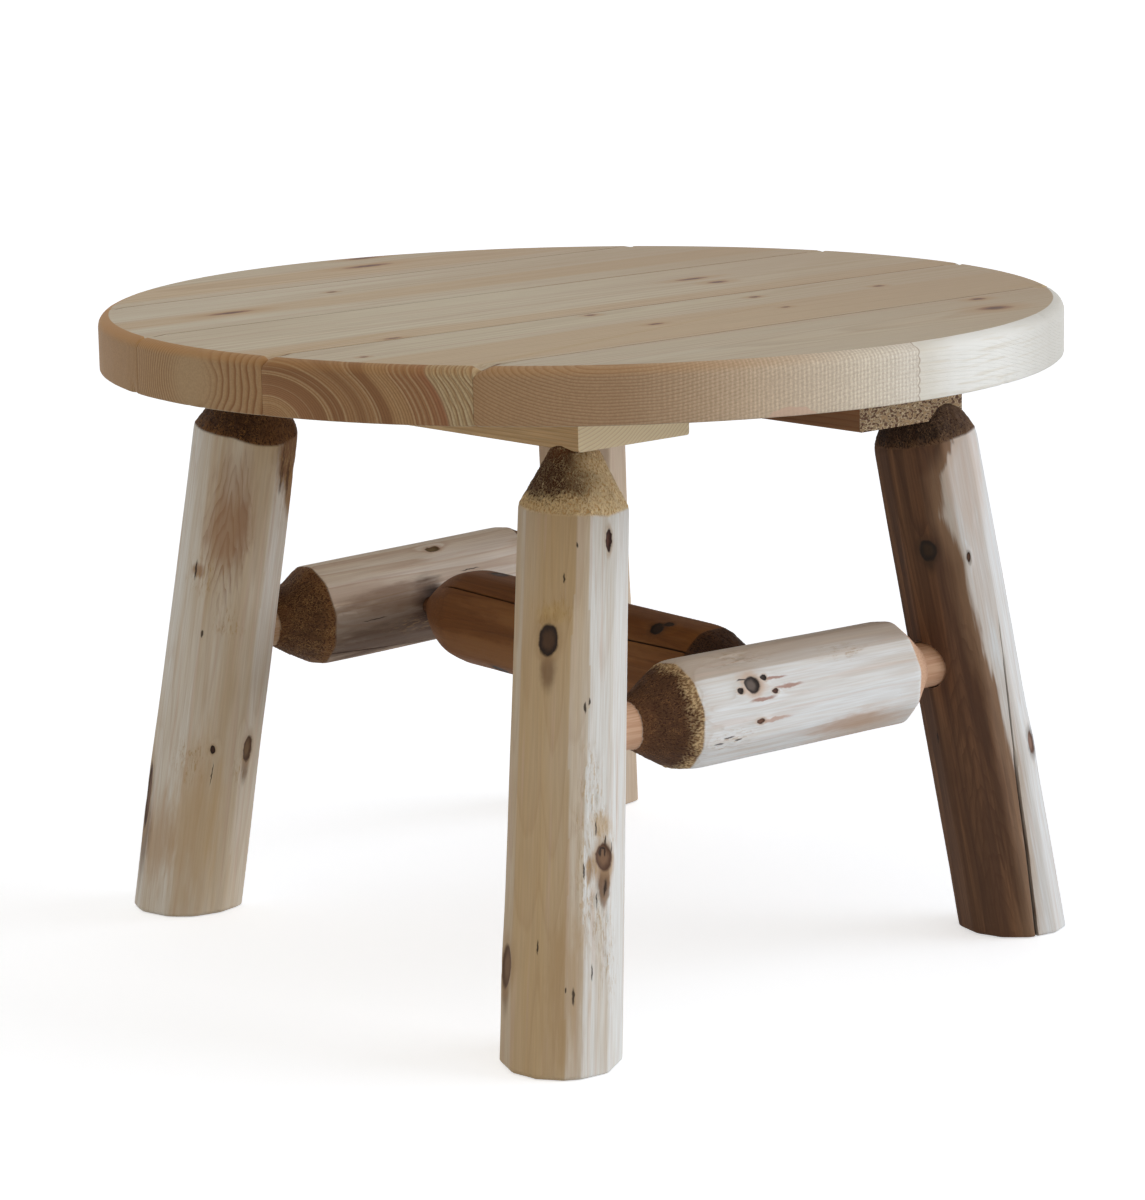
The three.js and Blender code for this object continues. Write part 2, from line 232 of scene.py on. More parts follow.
def finish(material, colour, height, depth, roughness, metallic=0.0):
    """Ends a material: its colour, its gloss, and its grain as fine relief."""
    bump = flow(material.node_tree, "ShaderNodeBump", {"Height": height, "Distance": depth, "Strength": 1.0})
    feed(material.node_tree.nodes["Principled BSDF"],
         {"Base Color": colour, "Roughness": roughness, "Specular IOR Level": 0.3, "Normal": bump,
          "Metallic": metallic})
    return material


def facing(tree, axis):
    """How far the surface faces along an axis, from -1 to 1."""
    return parts_of(flow(tree, "ShaderNodeNewGeometry", out="Normal"))[axis]


white = (255, 255, 255)

# Tones of the rim, from the left round the front to the right, by degrees from the front
# Partly the wood's own tone, partly painted light and shade: darker brown round the shaded left, brightest
# near the front where the window light falls, greyer again further right.
rim_tones_and_light = [(-130, (190, 154, 112)), (-92, (184, 155, 117)), (-66, (172, 132, 92)),
             (-52, (186, 154, 118)), (-38, (190, 160, 128)), (-24, (228, 206, 178)),
             (-9, (248, 238, 218)), (6, (250, 248, 240)), (26, (214, 210, 199)),
             (60, (206, 200, 186))]

# Zones and pale lines across the heartwood of the second plank, by millimetres from its pith
deep_brown = (146, 104, 66)
mid_brown = (172, 132, 90)
red_brown = (162, 118, 80)
tan_brown = (184, 146, 102)
heart_zones = [(0, mid_brown), (22, tan_brown), (27, red_brown), (45, deep_brown), (48, mid_brown),
               (51, deep_brown), (57, deep_brown), (62, mid_brown), (70, (150, 110, 72)), (78, mid_brown),
               (82, deep_brown), (88, deep_brown), (91, tan_brown), (100, tan_brown), (103, red_brown),
               (112, red_brown), (121, (164, 112, 78)), (123, (206, 186, 148)), (150, (208, 188, 150))]
heart_lines = [(18, 0.5), (25, 0.8), (36, 0.3), (47, 0.7), (49.5, 0.7), (54, 0.3), (59, 0.8), (66, 0.3),
               (74, 0.4), (79.5, 0.8), (81.8, 0.7), (95, 0.3), (102.4, 0.8), (105.4, 0.8), (108.8, 0.6),
               (112.9, 0.8), (117, 0.4)]

# One entry a plank, front to back: where its pith lay, its rings per metre before and behind the
# pith, how strongly they show there, the tone of its face, its warm band, and its knots as
# places, half lengths and half widths. Squash is how much flatter than round its rings grew.
board_grain = {
    "plank_1": {"pith": (-0.263, 0.506), "rings": (480, 480), "strength": (0.6, 0.6), "face": (203, 191, 167),
                "band": None,
                "knots": [(0.151, -0.257, 0.017, 0.010), (0.179, -0.215, 0.009, 0.005),
                          (-0.188, -0.192, 0.007, 0.0025)]},
    "plank_2": {"pith": (-0.066, 0.405), "rings": (300, 240), "strength": (0.75, 0.3), "squash": 1.5,
                "face": (207, 195, 168), "band": (-0.160, 0.036),
                "knots": [(-0.054, -0.070, 0.006, 0.004), (-0.057, -0.138, 0.008, 0.004),
                          (0.088, -0.086, 0.006, 0.004), (0.063, -0.142, 0.005, 0.003),
                          (0.189, -0.110, 0.006, 0.004), (-0.289, -0.111, 0.004, 0.003)]},
    "plank_3": {"pith": (0.006, 0.424), "rings": (165, 330), "strength": (1.0, 0.95), "face": (211, 200, 174),
                "band": (-0.045, 0.014),
                "knots": [(0.133, 0.025, 0.018, 0.005), (0.132, -0.003, 0.011, 0.006),
                          (-0.219, -0.056, 0.009, 0.003)]},
    "plank_4": {"pith": (-0.120, 0.415), "rings": (420, 420), "strength": (0.85, 0.85),
                "face": (213, 203, 180), "band": (0.132, 0.020),
                "knots": [(-0.208, 0.135, 0.022, 0.006), (-0.087, 0.172, 0.005, 0.003)]},
    "plank_5": {"pith": (0.270, 0.520), "rings": (280, 280), "strength": (0.5, 0.5), "face": (206, 193, 168),
                "band": (0.262, 0.026),
                "knots": [(0.033, 0.277, 0.026, 0.007), (0.063, 0.320, 0.020, 0.006),
                          (0.192, 0.280, 0.010, 0.005)]},
}


# The tones of a knot in a face from its halo to its core: where each starts to fade and is
# gone, in reaches, and how strong it is
knot_layers = [(0.9, 2.6, 0.5, (176, 138, 96)), (0.6, 1.1, 0.85, (140, 98, 66)),
               (0.25, 0.7, 0.9, (84, 54, 36))]


def board_face(name, grain, place, rings, fibre):
    """The sanded faces: clouds, a warm band, rings, veins, fibres, knots, and a dark line at the seams,
    partly the joint's own tone and partly painted shadow.
    """
    x, y = parts_of(place)[:2]
    cloud = mottle(place, (3.0, 30, 30), 3.0)
    pink = mottle(place + (7, 3, 1), (2.0, 90, 90))
    vein = mottle(place + (3, 9, 5), (2.5, 420, 420))
    face = tint(fade(cloud, 0.35, 0.7), grain["face"], (204, 190, 164))
    face = tint(fade(pink, 0.5, 0.72, 0.0, 0.3), face, (202, 176, 152))
    if grain["band"]:
        middle, half = grain["band"]
        wander = cloud * -0.03 + abs(y - middle)
        face = tint(fade(wander, half - 0.02, half - 0.006, 0.55, 0.0), face, (198, 166, 122))
    face = tint(0.28, face, rings, "MULTIPLY")
    face = tint(fade(vein, 0.54, 0.66, 0.0, 0.5), face, (176, 140, 108))
    face = tint(fade(x, -0.1, 0.3, 0.0, 0.6), face, (178, 152, 122))
    face = tint(fade(fibre, 0.3, 0.7, 0.22, 0.0), face, (156, 134, 106))
    for knot_x, knot_y, half_length, half_width in grain["knots"]:
        reach = reach_of(place, (knot_x, knot_y, top_face), (half_length, half_width, 0.05))
        for begins, ends, amount, colour in knot_layers:
            face = tint(fade(reach, begins, ends, amount, 0.0), face, colour)
    low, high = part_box(name)
    # A dark line along each seam: partly the joint's own reddish tone, partly painted shadow in the groove
    # between the planks.
    for seam, inward, outermost in ((low.y, 1, "plank_1"), (high.y, -1, "plank_5")):
        if name != outermost:
            from_seam = (y - seam) * inward
            face = tint(fade(from_seam, 0.7 * seam_crack, seam_crack, 0.7, 0.0), face, (110, 70, 52))
    return face


def heart_rim(radius):
    """The end grain of the second plank, which holds the tree's brown heart."""
    rim = stops(radius / 0.15, *[(mm / 150, colour) for mm, colour in heart_zones])
    close_rings = reckon("FRACT", radius * 540)
    rim = tint(fade(close_rings, 0.3, 0.95, 0.0, 0.5), rim, (118, 80, 50))
    for mm, amount in heart_lines:
        away = abs(radius - mm / 1000)
        rim = tint(fade(away, 0.0002, 0.0009, 0.6 * amount, 0.0), rim, (214, 186, 144))
    return rim


def front_rim(rim, place, turn, degrees):
    """The front plank's rim: saw marks, a torn lens, and a clean white stretch to the right
    that a scalloped line bounds. Its white is partly the wood's own and partly painted light, and
    it greys towards its right end as painted shade."""
    x, z = parts_of(place)[::2]
    saw_lines = turn * (top_radius / 0.0031) + mottle(place, (40, 40, 4)) * 2.0
    saw = abs(reckon("FRACT", saw_lines) - 0.5)
    marked = fade(abs(degrees + 20), 12, 24, 0.28, 0.04)
    rim = tint(marked * fade(saw, 0.05, 0.4), rim, (160, 130, 100))
    lens = reach_of(place, (-0.1107, -0.3215, top_under - 0.001), (0.019, 0.012, 0.0075), 0.33)
    rim = tint(fade(lens, 0.9, 1.0, 0.75, 0.0), rim, (222, 188, 164))
    scallop = abs(reckon("SINE", z * (math.pi / 0.0065)))
    bound = scallop * -0.0016 + x
    waves = mottle(place, (22, 22, 420))
    # The white stretch: partly the wood's own pale tone, partly painted light, with painted shade greying it
    # towards the right end.
    clean = tint(fade(waves, 0.5, 0.66, 0.0, 0.4), (249, 247, 239), (222, 210, 186))
    clean = tint(fade(x, -0.014, 0.03, 0.6, 0.0), clean, (226, 216, 196))
    clean = tint(fade(x, 0.05, 0.17, 0.0, 0.85), clean, (208, 203, 192))
    rim = tint(fade(bound, -0.0135, -0.0129), rim, clean)
    return tint(fade(abs(bound + 0.0136), 0.0003, 0.0009, 0.5, 0.0), rim, (150, 116, 80))


def board_material(name, grain):
    """Sawn softwood: rings round a pith, so that the faces show lines and the rim shows arcs."""
    material, place = new_material(f"{name}_wood")
    x, y, z = parts_of(place)
    pith_y, pith_z = grain["pith"]
    away_x, away_y, away_z = parts_of(place - (0, pith_y, pith_z))
    along = place_of(away_y, away_x * 0.018 + away_z * grain.get("squash", 1.0), away_x)
    shift = (pith_y * 9, pith_z * 3, 0)
    radius = pith_distance(along, 0.004, shift)
    behind = fade(away_y, -0.004, 0.004)
    ring = growth_rings(radius, fade(behind, 0.0, 1.0, *grain["rings"]), along, shift, 1.4)
    rings = stops(ring, (0.0, white), (0.45, (250, 243, 232)), (0.86, (192, 160, 126)),
                  (1.0, (252, 246, 238)))
    fibre = mottle(place, (25, 900, 900))
    face = board_face(name, grain, place, rings, fibre)
    turn = reckon("ARCTAN2", x, y * -1)
    degrees = turn * (180 / math.pi)
    first, last = rim_tones_and_light[0][0], rim_tones_and_light[-1][0]
    rim = stops((degrees - first) / (last - first),
                *[((mark - first) / (last - first), colour) for mark, colour in rim_tones_and_light])
    ringed = fade(radius, 0.010, 0.034) * fade(behind, 0.0, 1.0, *grain["strength"])
    if name == "plank_1":
        ringed = ringed * fade(degrees, -36, -22, 1.0, 0.3)
    if name == "plank_2":
        rim = heart_rim(radius)
        ringed = ringed * fade(radius, 0.121, 0.125)
    rim = tint(ringed, rim, rings, "MULTIPLY")
    stipple = mottle(place, (700, 700, 700), 2.0, 0.7)
    rim = tint(fade(stipple, 0.35, 0.65, 0.22, 0.0), rim, (126, 96, 64))
    if name == "plank_1":
        rim = front_rim(rim, place, turn, degrees)
    gold = fade(z, top_face - 0.0075, top_face - 0.0020) * fade(degrees, -100, -66, 0.70, 0.30)
    rim = tint(gold * fade(degrees, -30, -8, 1.0, 0.0), rim, (196, 146, 88))
    out = reckon("LENGTH", place * (1, 1, 0))
    flat_edge = top_radius - rim_round
    on_rim = fade(out, flat_edge - 0.0002, flat_edge + 0.0002) * fade(facing(place.tree, 2), -0.9, -0.7)
    height = on_rim * stipple + fibre * 0.5 + ring
    return finish(material, tint(on_rim, face, rim), height, 0.00012, 0.62)


def spread(low, high, count):
    return [low + (high - low) * i / count for i in range(count)]


# Marks along an arc, as distances from the seam at its end, where the corners are worn
corner_steps = np.array([0, 0.8, 1.8, 3.0, 4.4, 6.0]) / 1000


def arc_shares(length):
    """Shares along an arc of the rim, closer together near its ends."""
    inner = np.arange(0.008, length - 0.007, arc_step) / length
    return np.concatenate([corner_steps / length, inner, 1 - corner_steps[::-1] / length])


def plank_outline(front, back, inset, seam_inset):
    """The plank's edge seen from above, anticlockwise from its front right corner. With each
    point comes how far it is from the corner along the rim, or -1 on a seam."""
    radius = top_radius - inset
    foremost, hindmost = front <= -top_radius, back >= top_radius
    low = -radius if foremost else front + seam_inset
    high = radius if hindmost else back - seam_inset
    first, last = math.asin(low / radius), math.asin(high / radius)
    length = (math.asin(back / top_radius) - math.asin(front / top_radius)) * top_radius
    shares = arc_shares(length)
    angles = first + (last - first) * shares
    corner = np.minimum(shares * length + foremost, (1 - shares) * length + hindmost)
    right = np.column_stack([radius * np.cos(angles), radius * np.sin(angles), corner])
    left = (right[::-1] * (-1, 1, 1))[int(hindmost):len(right) - int(foremost)]

    def seam(y, start):
        return np.array([(x, y, -1) for x in spread(start, -start, seam_points)[1:]]).reshape(-1, 3)

    back_seam = [] if hindmost else [seam(high, radius * math.cos(last))]
    front_seam = [] if foremost else [seam(low, -radius * math.cos(first))]
    return np.vstack([right, *back_seam, left, *front_seam])


def mesh_object(name, points, faces, material, smooth=35):
    mesh = bpy.data.meshes.new(name)
    mesh.from_pydata([tuple(map(float, point)) for point in points], [], faces)
    mesh.update()
    mesh.materials.append(material)
    piece = bpy.data.objects.new(name, mesh)
    bpy.context.collection.objects.link(piece)
    mesh.polygons.foreach_set("use_smooth", [True] * len(mesh.polygons))
    mesh.set_sharp_from_angle(angle=math.radians(smooth))
    return piece


def crease(piece, first, last):
    """Keeps the edges between a run of points sharp."""
    edges = piece.data.edges
    ends = np.empty(2 * len(edges), dtype=np.int32)
    edges.foreach_get("vertices", ends)
    kept = np.empty(len(edges), dtype=bool)
    edges.foreach_get("use_edge_sharp", kept)
    inside = ((ends >= first) & (ends < last)).reshape(-1, 2).all(axis=1)
    edges.foreach_set("use_edge_sharp", kept | inside)


def closed_grid(rows, columns):
    """The numbers of a grid's points, and of the points beside them round the grid."""
    index = np.arange(rows * columns).reshape(rows, columns)
    return index, np.roll(index, -1, axis=1)


def quads(*corners):
    return np.stack(corners, axis=-1).reshape(-1, 4).tolist()


# Splinters broken out of the rim's edges, each as a place, a size and a depth
splinters = [
    (-0.2690, -0.2040, top_face, 0.005, 0.0015), (-0.3315, -0.0640, top_face, 0.005, 0.0012),
    (-0.3290, -0.0750, top_face, 0.003, 0.0012), (0.1500, -0.3025, top_face, 0.006, 0.0024),
    (0.1350, -0.3090, top_face, 0.004, 0.0018), (-0.0110, -0.3374, top_face, 0.005, 0.0022),
    (-0.3280, 0.0850, top_under, 0.005, 0.0026), (-0.3400, -0.0040, top_under, 0.004, 0.0016),
    (-0.3395, 0.0120, top_under, 0.003, 0.0012), (0.0800, -0.3280, top_under, 0.005, 0.0014),
    (0.2100, -0.2640, top_face, 0.004, 0.0015), (-0.2740, -0.2000, top_under, 0.004, 0.0016),
]

# How the planks' corners are worn at each seam, front to back: how far round the rim, and how deep
worn_corners = [(0.0058, 0.0030), (0.0034, 0.0022), (0.0020, 0.0012), (0.0020, 0.0010)]

# How far in the flat face's own ring of points lies, along the rim and along the seams. How
# far down the rim a worn corner reaches, and how much of its wear draws the rim in. How many
# times as wide as high a splinter is.
face_inset = rim_round + 0.006
face_seam_inset = 0.005
worn_height = 0.012
worn_inward = 0.2
splinter_flatness = 1.5


def plank_rings():
    """The plank's edge from the top down: a height, and how far the rim and the seams draw in."""
    rings = [(top_face, face_inset, face_seam_inset)]
    for i in range(7):
        angle = arris_angle + (math.pi / 2 - arris_angle) * i / 6
        drop = rim_round * (math.cos(arris_angle) - math.cos(angle)) / math.cos(arris_angle)
        inset = rim_round * (1 - math.sin(angle)) / (1 - math.sin(arris_angle))
        rings.append((top_face - drop, inset, seam_ease * max(0.0, 1 - drop / seam_ease) ** 2))
    rings += [(z, 0.0, 0.0) for z in spread(top_face - rim_round - 0.004, top_under + 0.004, 5)]
    for i in range(4):
        angle = i * math.pi / 6
        inset = rim_ease * (1 - math.cos(angle))
        rings.append((top_under + rim_ease * (1 - math.sin(angle)), inset, 0.0005 * i))
    return rings


def plank_ring(front, back, worn, z, inset, seam_inset):
    """One ring of the plank's points, with the rim's waves, its splinters and its worn corners."""
    x, y, corner = plank_outline(front, back, inset, seam_inset).T
    rim = corner >= 0
    angle = np.arctan2(y, x)
    wave = np.sin(23 * angle + 1.0) + 0.6 * np.sin(61 * angle) + 0.4 * np.sin(131 * angle + 2.0)
    bite = rim * (wave + 2) * rim_wave / 2
    for at_x, at_y, at_z, size, depth in splinters:
        away = np.sqrt((x - at_x) ** 2 + (y - at_y) ** 2 + ((z - at_z) * splinter_flatness) ** 2)
        bite = bite + rim * depth * np.clip(1 - away / size, 0, 1)
    nearer_front = np.abs(y - front) < np.abs(y - back)
    reach, depth = (np.where(nearer_front, at_front, at_back) for at_front, at_back in zip(*worn))
    wear = rim * np.clip(1 - corner / reach, 0, 1)
    upper = 0.0 if inset == face_inset else np.clip(1 - (top_face - z) / worn_height, 0, 1)
    drawn_in = 1 - (bite + worn_inward * depth * wear) / np.maximum(np.hypot(x, y), 0.05)
    return np.column_stack([x * drawn_in, y * drawn_in, z - depth * wear * upper])


def make_plank(place_in_row, name):
    low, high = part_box(name)
    front = low.y if place_in_row > 0 else -top_radius
    back = high.y if place_in_row < 4 else top_radius
    worn = worn_corners[max(place_in_row - 1, 0)], worn_corners[min(place_in_row, 3)]
    points = [plank_ring(front, back, worn, *ring) for ring in plank_rings()]
    count = len(points[0])
    index, beside = closed_grid(len(points), count)
    faces = quads(index[:-1], index[1:], beside[1:], beside[:-1])
    faces += [index[0].tolist(), index[-1][::-1].tolist()]
    plank = mesh_object(f"{name}_board", np.vstack(points), faces, board_material(name, board_grain[name]))
    crease(plank, count, 2 * count)
    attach(plank, "root")
    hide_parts(name)


for plank_number, plank_name in enumerate(board_grain):
    make_plank(plank_number, plank_name)


# Dowels across the seams
# Plain hardwood pins hidden in the edges of the planks, glued half in either plank.
def dress(names, material):
    """A node whose shape is right keeps its mesh and gets a finish."""
    for name in names:
        frame["nodes"][name].data.materials.clear()
        frame["nodes"][name].data.materials.append(material)


def nodes_of(slot):
    return [part["node"] for part in frame["record"]["subparts"] if part["material_slot"] == slot]


def dowel_material():
    material, place = new_material("dowel_beech")
    fibre = mottle(place, (700, 30, 700), 3.0)
    return finish(material, tint(fibre, (214, 190, 150), (188, 158, 116)), fibre, 0.0001, 0.6)


dress(nodes_of("dowel_wood"), dowel_material())


# Cleats under the planks
# Two planed boards that lie across the planks and are screwed to them. The front end of the
# left one was sawn clean, and that of the right one was torn off rough.
def squiggles(place, per_metre):
    """Cloudy noise, and the thin crooked lines along its middle height."""
    cloud = mottle(place, per_metre, 1.0)
    return cloud, fade(abs(cloud - 0.5), 0.01, 0.07, 1.0, 0.0)


def cleat_material(name, pale, streak, pith, lit_end_tone, torn_end):
    material, place = new_material(name)
    x, y, z = parts_of(place - (pith[0], 0, pith[1]))
    along = place_of(x, z, y)
    shift = (1, 2, 3)
    ring = growth_rings(pith_distance(along, 0.006, shift), 370, along, shift, 1.5)
    rings = stops(ring, (0.0, white), (0.6, (244, 232, 214)), (0.88, (196, 160, 120)),
                  (1.0, (250, 244, 234)))
    fibre = mottle(place, (800, 22, 800))
    colour = tint(fade(mottle(place, (40, 4, 40)), 0.3, 0.7), pale, streak)
    colour = tint(fade(fibre, 0.35, 0.7, 0.25, 0.0), colour, (130, 100, 68))
    # The end face has a tone of its own, paler than the sides: painted light on the end, which faces the
    # front.
    on_end = fade(facing(place.tree, 1) * -1, 0.4, 0.6)
    colour = tint(0.42, tint(on_end, colour, lit_end_tone), rings, "MULTIPLY")
    height = fibre * 0.5 + ring
    if torn_end:
        tangle, worms = squiggles(place, (300, 100, 520))
        rough = tint(fade(tangle, 0.36, 0.6), (128, 94, 66), (178, 146, 108))
        rough = tint(worms * 0.8, rough, (236, 212, 174))
        rough = tint(fade(tangle, 0.30, 0.46, 0.7, 0.0), rough, (140, 110, 84), "MULTIPLY")
        colour = tint(on_end, colour, rough)
        height = on_end * (worms + tangle) * 5.0 + height
    return finish(material, colour, height, 0.00015, 0.66)


dress(["cleat_left"], cleat_material("cleat_left_wood", (236, 206, 160), (220, 186, 138), (-0.181, 0.511),
                                     (255, 240, 205), False))
dress(["cleat_right"], cleat_material("cleat_right_wood", (148, 106, 72), (116, 80, 54), (0.02, 0.36),
                                      (156, 114, 78), True))


# Screws through the cleats
# Zinc-plated countersunk wood screws with cross recesses, sunk a little below the surface.
def screw_material():
    material, place = new_material("zinc_plate")
    cloud = mottle(place, (500, 500, 500), 3.0)
    return finish(material, tint(cloud, (176, 176, 170), (140, 138, 128)), cloud, 0.00005, 0.36, metallic=1.0)


dress(nodes_of("screw_steel"), screw_material())


# Legs
# Four logs peeled with a drawknife, so long flats and torn patches show. The top of each is
# cut like a pencil to a round tenon that goes up into a cleat, and the foot is sawn flat.
tenon_radius = 0.0159
tenon_clearance = 0.0006
tenon_chamfer = 0.0015
tenon_short_of_top = 0.0015
mark_depth = 0.03
shoulder_angle = math.radians(31)
leg_head_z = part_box("cleat_left")[0].z
coarse_step = 0.0016
cone_step = 0.0008
tenon_step = 0.004
near_shoulder = 0.007
foot_rows = [0, 0.0005, 0.0011, 0.0018, 0.0028, 0.004]
foot_height = 0.0056
foot_trim_height = 0.045
knot_swelling = 0.0012
shred_height = 0.00042
pit_depth = 0.0014
fibre_height = 0.00006
cone_unevenness = 0.0008
split_depth = 0.006
open_split = 0.0012
table_length = 512


def hills(along, turn, around, seed):
    """Smooth random hills from -1 to 1, one per unit along and so many round a log."""
    table = np.random.default_rng(seed).uniform(-1, 1, (table_length, around))
    row, column = np.floor(along), np.floor(turn * around)
    a, b = along - row, turn * around - column
    a, b = a * a * (3 - 2 * a), b * b * (3 - 2 * b)
    row, column = row.astype(int) % table_length, column.astype(int) % around
    next_row, next_column = (row + 1) % table_length, (column + 1) % around
    low = table[row, column] * (1 - a) + table[next_row, column] * a
    high = table[row, next_column] * (1 - a) + table[next_row, next_column] * a
    return low * (1 - b) + high * b


def turn_of(angle):
    """An angle as a share of a full turn."""
    return (angle / (2 * math.pi)) % 1.0


def around_from(angle, middle):
    """How far round a log an angle is from another, from -pi to pi."""
    return (angle - middle + math.pi) % (2 * math.pi) - math.pi


def softer_least(a, b, soft):
    """The smaller of two lengths, with the crease between them eased."""
    return -soft * np.logaddexp(-a / soft, -b / soft)


def along_path(along, marks):
    """A value between marks given as pairs of a height along the log and the value there."""
    return np.interp(along, *zip(*marks))


def log_axes(start, end, face):
    """Local axes of a log: Z along it, and X towards the side that angles are counted from."""
    along = (end - start).normalized()
    x = (face - face.dot(along) * along).normalized()
    placed = Matrix((x, along.cross(x), along)).transposed().to_4x4()
    placed.translation = start
    return placed


def radius_at(log, share):
    return log["radii"][0] + (log["radii"][1] - log["radii"][0]) * share


def shift_of(log):
    """Where in the noise a log lies, so that no two logs look alike."""
    return (log["seed"] * 3.1, 0, log["seed"] * 1.7)


def cone_length(log):
    """How long a pencil cut is from the log's surface down to its tenon."""
    return (max(log["radii"]) - tenon_radius) / math.tan(shoulder_angle)


def spot_reach(log, along, angle, height, degrees, half_width, half_length):
    """How far a point on a log is from a mark's centre, where the mark's own edge is 1."""
    off = around_from(angle, math.radians(degrees))
    radius = radius_at(log, np.clip(along / log["length"], 0, 1))
    return np.hypot(off * radius / half_width, (along - height) / half_length)


def log_body(log, along, angle):
    """The peeled surface before its ends are cut: flats, knots' swellings and torn patches."""
    turn, seed = turn_of(angle), log["seed"]
    radius = radius_at(log, np.clip(along / log["length"], 0, 1))
    edges = [math.radians(edge) + 0.05 * hills(along / 0.12, 0 * turn + i / 64, 64, seed + 3)
             for i, edge in enumerate(log["flat_edges"])]
    edges.append(edges[0] + 2 * math.pi)
    # Each facet's share of tan, partly the wood's own tone and partly painted shade on the facets turned from
    # the window.
    tan = 0 * turn
    body = 1.035 * radius * (1 + 0.006 * hills(along / 0.11, turn, 3, seed))
    for i, facet_tan_and_shade in enumerate(log["tans_and_shading"]):
        middle, half = (edges[i] + edges[i + 1]) / 2, (edges[i + 1] - edges[i]) / 2
        wave = 1 + 0.006 * hills(along / 0.06, 0 * turn + i / 64, 64, seed + 4)
        flat = 1.019 * radius * wave * np.cos(half) / np.cos(np.clip(around_from(angle, middle), -1.3, 1.3))
        tan = np.where(flat < body, facet_tan_and_shade, tan)
        body = softer_least(body, flat, log["arris"])
    for knot in log["knots"]:
        reach = spot_reach(log, along, angle, *knot[:4])
        body = body + knot_swelling * (np.exp(-(reach / 2.2) ** 2) - np.clip(1.1 - reach, 0, 0.4) / 0.4)
    torn = 0 * body
    for tear in log["tears"]:
        reach = spot_reach(log, along, angle, *tear)
        torn = np.maximum(torn, np.clip(1.3 - reach + 0.45 * hills(along / 0.010, turn, 60, seed + 5), 0, 1))
    shreds = hills(along / 0.0070, turn, 200, seed + 6) + 0.5 * hills(along / 0.0035, turn, 110, seed + 7)
    pits = np.clip(hills(along / 0.011, turn, 70, seed + 10) - 0.35, 0, 1)
    body = body + torn * (shred_height * shreds - pit_depth * pits - 0.0002)
    return body + fibre_height * hills(along / 0.03, turn, 150, seed + 8), torn, tan


def log_columns(log):
    """Where the mesh's columns lie round a log, closer together at a drying check."""
    radius = log["radii"][0]
    around = round(2 * math.pi * radius / log["step"])
    columns = np.arange(around) * 2 * math.pi / around
    if log["check"]:
        middle = math.radians(log["check"]["degrees"]) % (2 * math.pi)
        columns = columns[np.abs(around_from(columns, middle)) > 2.4 * log["step"] / radius]
        extra = middle + np.array([-2.0, -1.0, -0.5, -0.25, 0, 0.25, 0.5, 1.0, 2.0]) * coarse_step / radius
        columns = np.sort(np.concatenate([columns, extra % (2 * math.pi)]))
    return columns


def log_rows(log):
    """How far along a log the mesh's rows lie, closer together at its foot and its shoulders."""
    start, end = log["start_shoulder"], log["end_shoulder"]
    cone = cone_length(log) + 0.006
    lean, _, lowered, twist = log["lean"][1]
    before = near_shoulder + max(lean + lowered + twist, log["blunt"][0])
    rows, begin = list(foot_rows), foot_height
    if start is not None:
        rows = [*np.arange(log["tenon_start"], start - cone, tenon_step),
                *np.arange(start - cone, start + near_shoulder, cone_step)]
        begin = start + near_shoulder
    rows += [*np.arange(begin, end - before, log["step"] * 1.15),
             *np.arange(end - before, end + cone, cone_step),
             *np.arange(end + cone, log["tenon_end"], tenon_step), log["tenon_end"]]
    return np.array(rows)


def shoulder_cut(log, side, along, angle, body, uneven):
    """The radius that the pencil cut leaves at one end of a log: side 0 at its start, or 1."""
    sign = 2 * side - 1
    end = log["end_shoulder"] if side else log["start_shoulder"]
    at_shoulder = body[np.argmin(np.abs(along[:, 0] - end))][None, :]
    back, reach, tip = log["blunt"]
    if side and reach:
        past = np.clip((along - end + back) / reach, 0, 1)
        return tip + (at_shoulder - tip) * (1 - past ** 1.7)
    lean, lean_degrees, lowered, twist = log["lean"][side]
    off = angle - math.radians(lean_degrees)
    tilted = end - lean * np.cos(off) - lowered - twist * np.maximum(np.sin(2 * off), 0)
    past = sign * (along - tilted)
    rounder = np.clip(past / 0.020, 0, 1)
    start = at_shoulder * (1 - rounder) + radius_at(log, end / log["length"]) * rounder
    full = cone_length(log)
    fall = math.tan(shoulder_angle) * log["steep"][side] * full / (full + sign * (end - tilted))
    return start - past * fall + uneven * rounder


def split_share(log, along, angle, rough):
    """How much a point is split by the drying check, and how far the split opens there."""
    check = log["check"]
    off = around_from(angle, math.radians(check["degrees"]))
    wide = along_path(along, check["width"])
    near = np.clip(1.15 - np.abs(off) * log["radii"][0] / np.maximum(wide, 1e-6), 0, 1)
    split = np.clip(near * 4, 0, 1) * np.clip(wide / 0.0004, 0, 1) * (1 - rough)
    return split, np.clip(wide / open_split, 0, 1)


def heart_depth(log, along, angle):
    """How far round a log a point is into its brown heart, from the heart's edge."""
    edge, far_edge = along_path(along, log["heart"]["edge"]), log["heart"]["far_edge"]
    middle, half = np.radians((edge + far_edge) / 2), np.radians((edge - far_edge) / 2)
    return (half - np.abs(around_from(angle, middle))) * log["radii"][0]


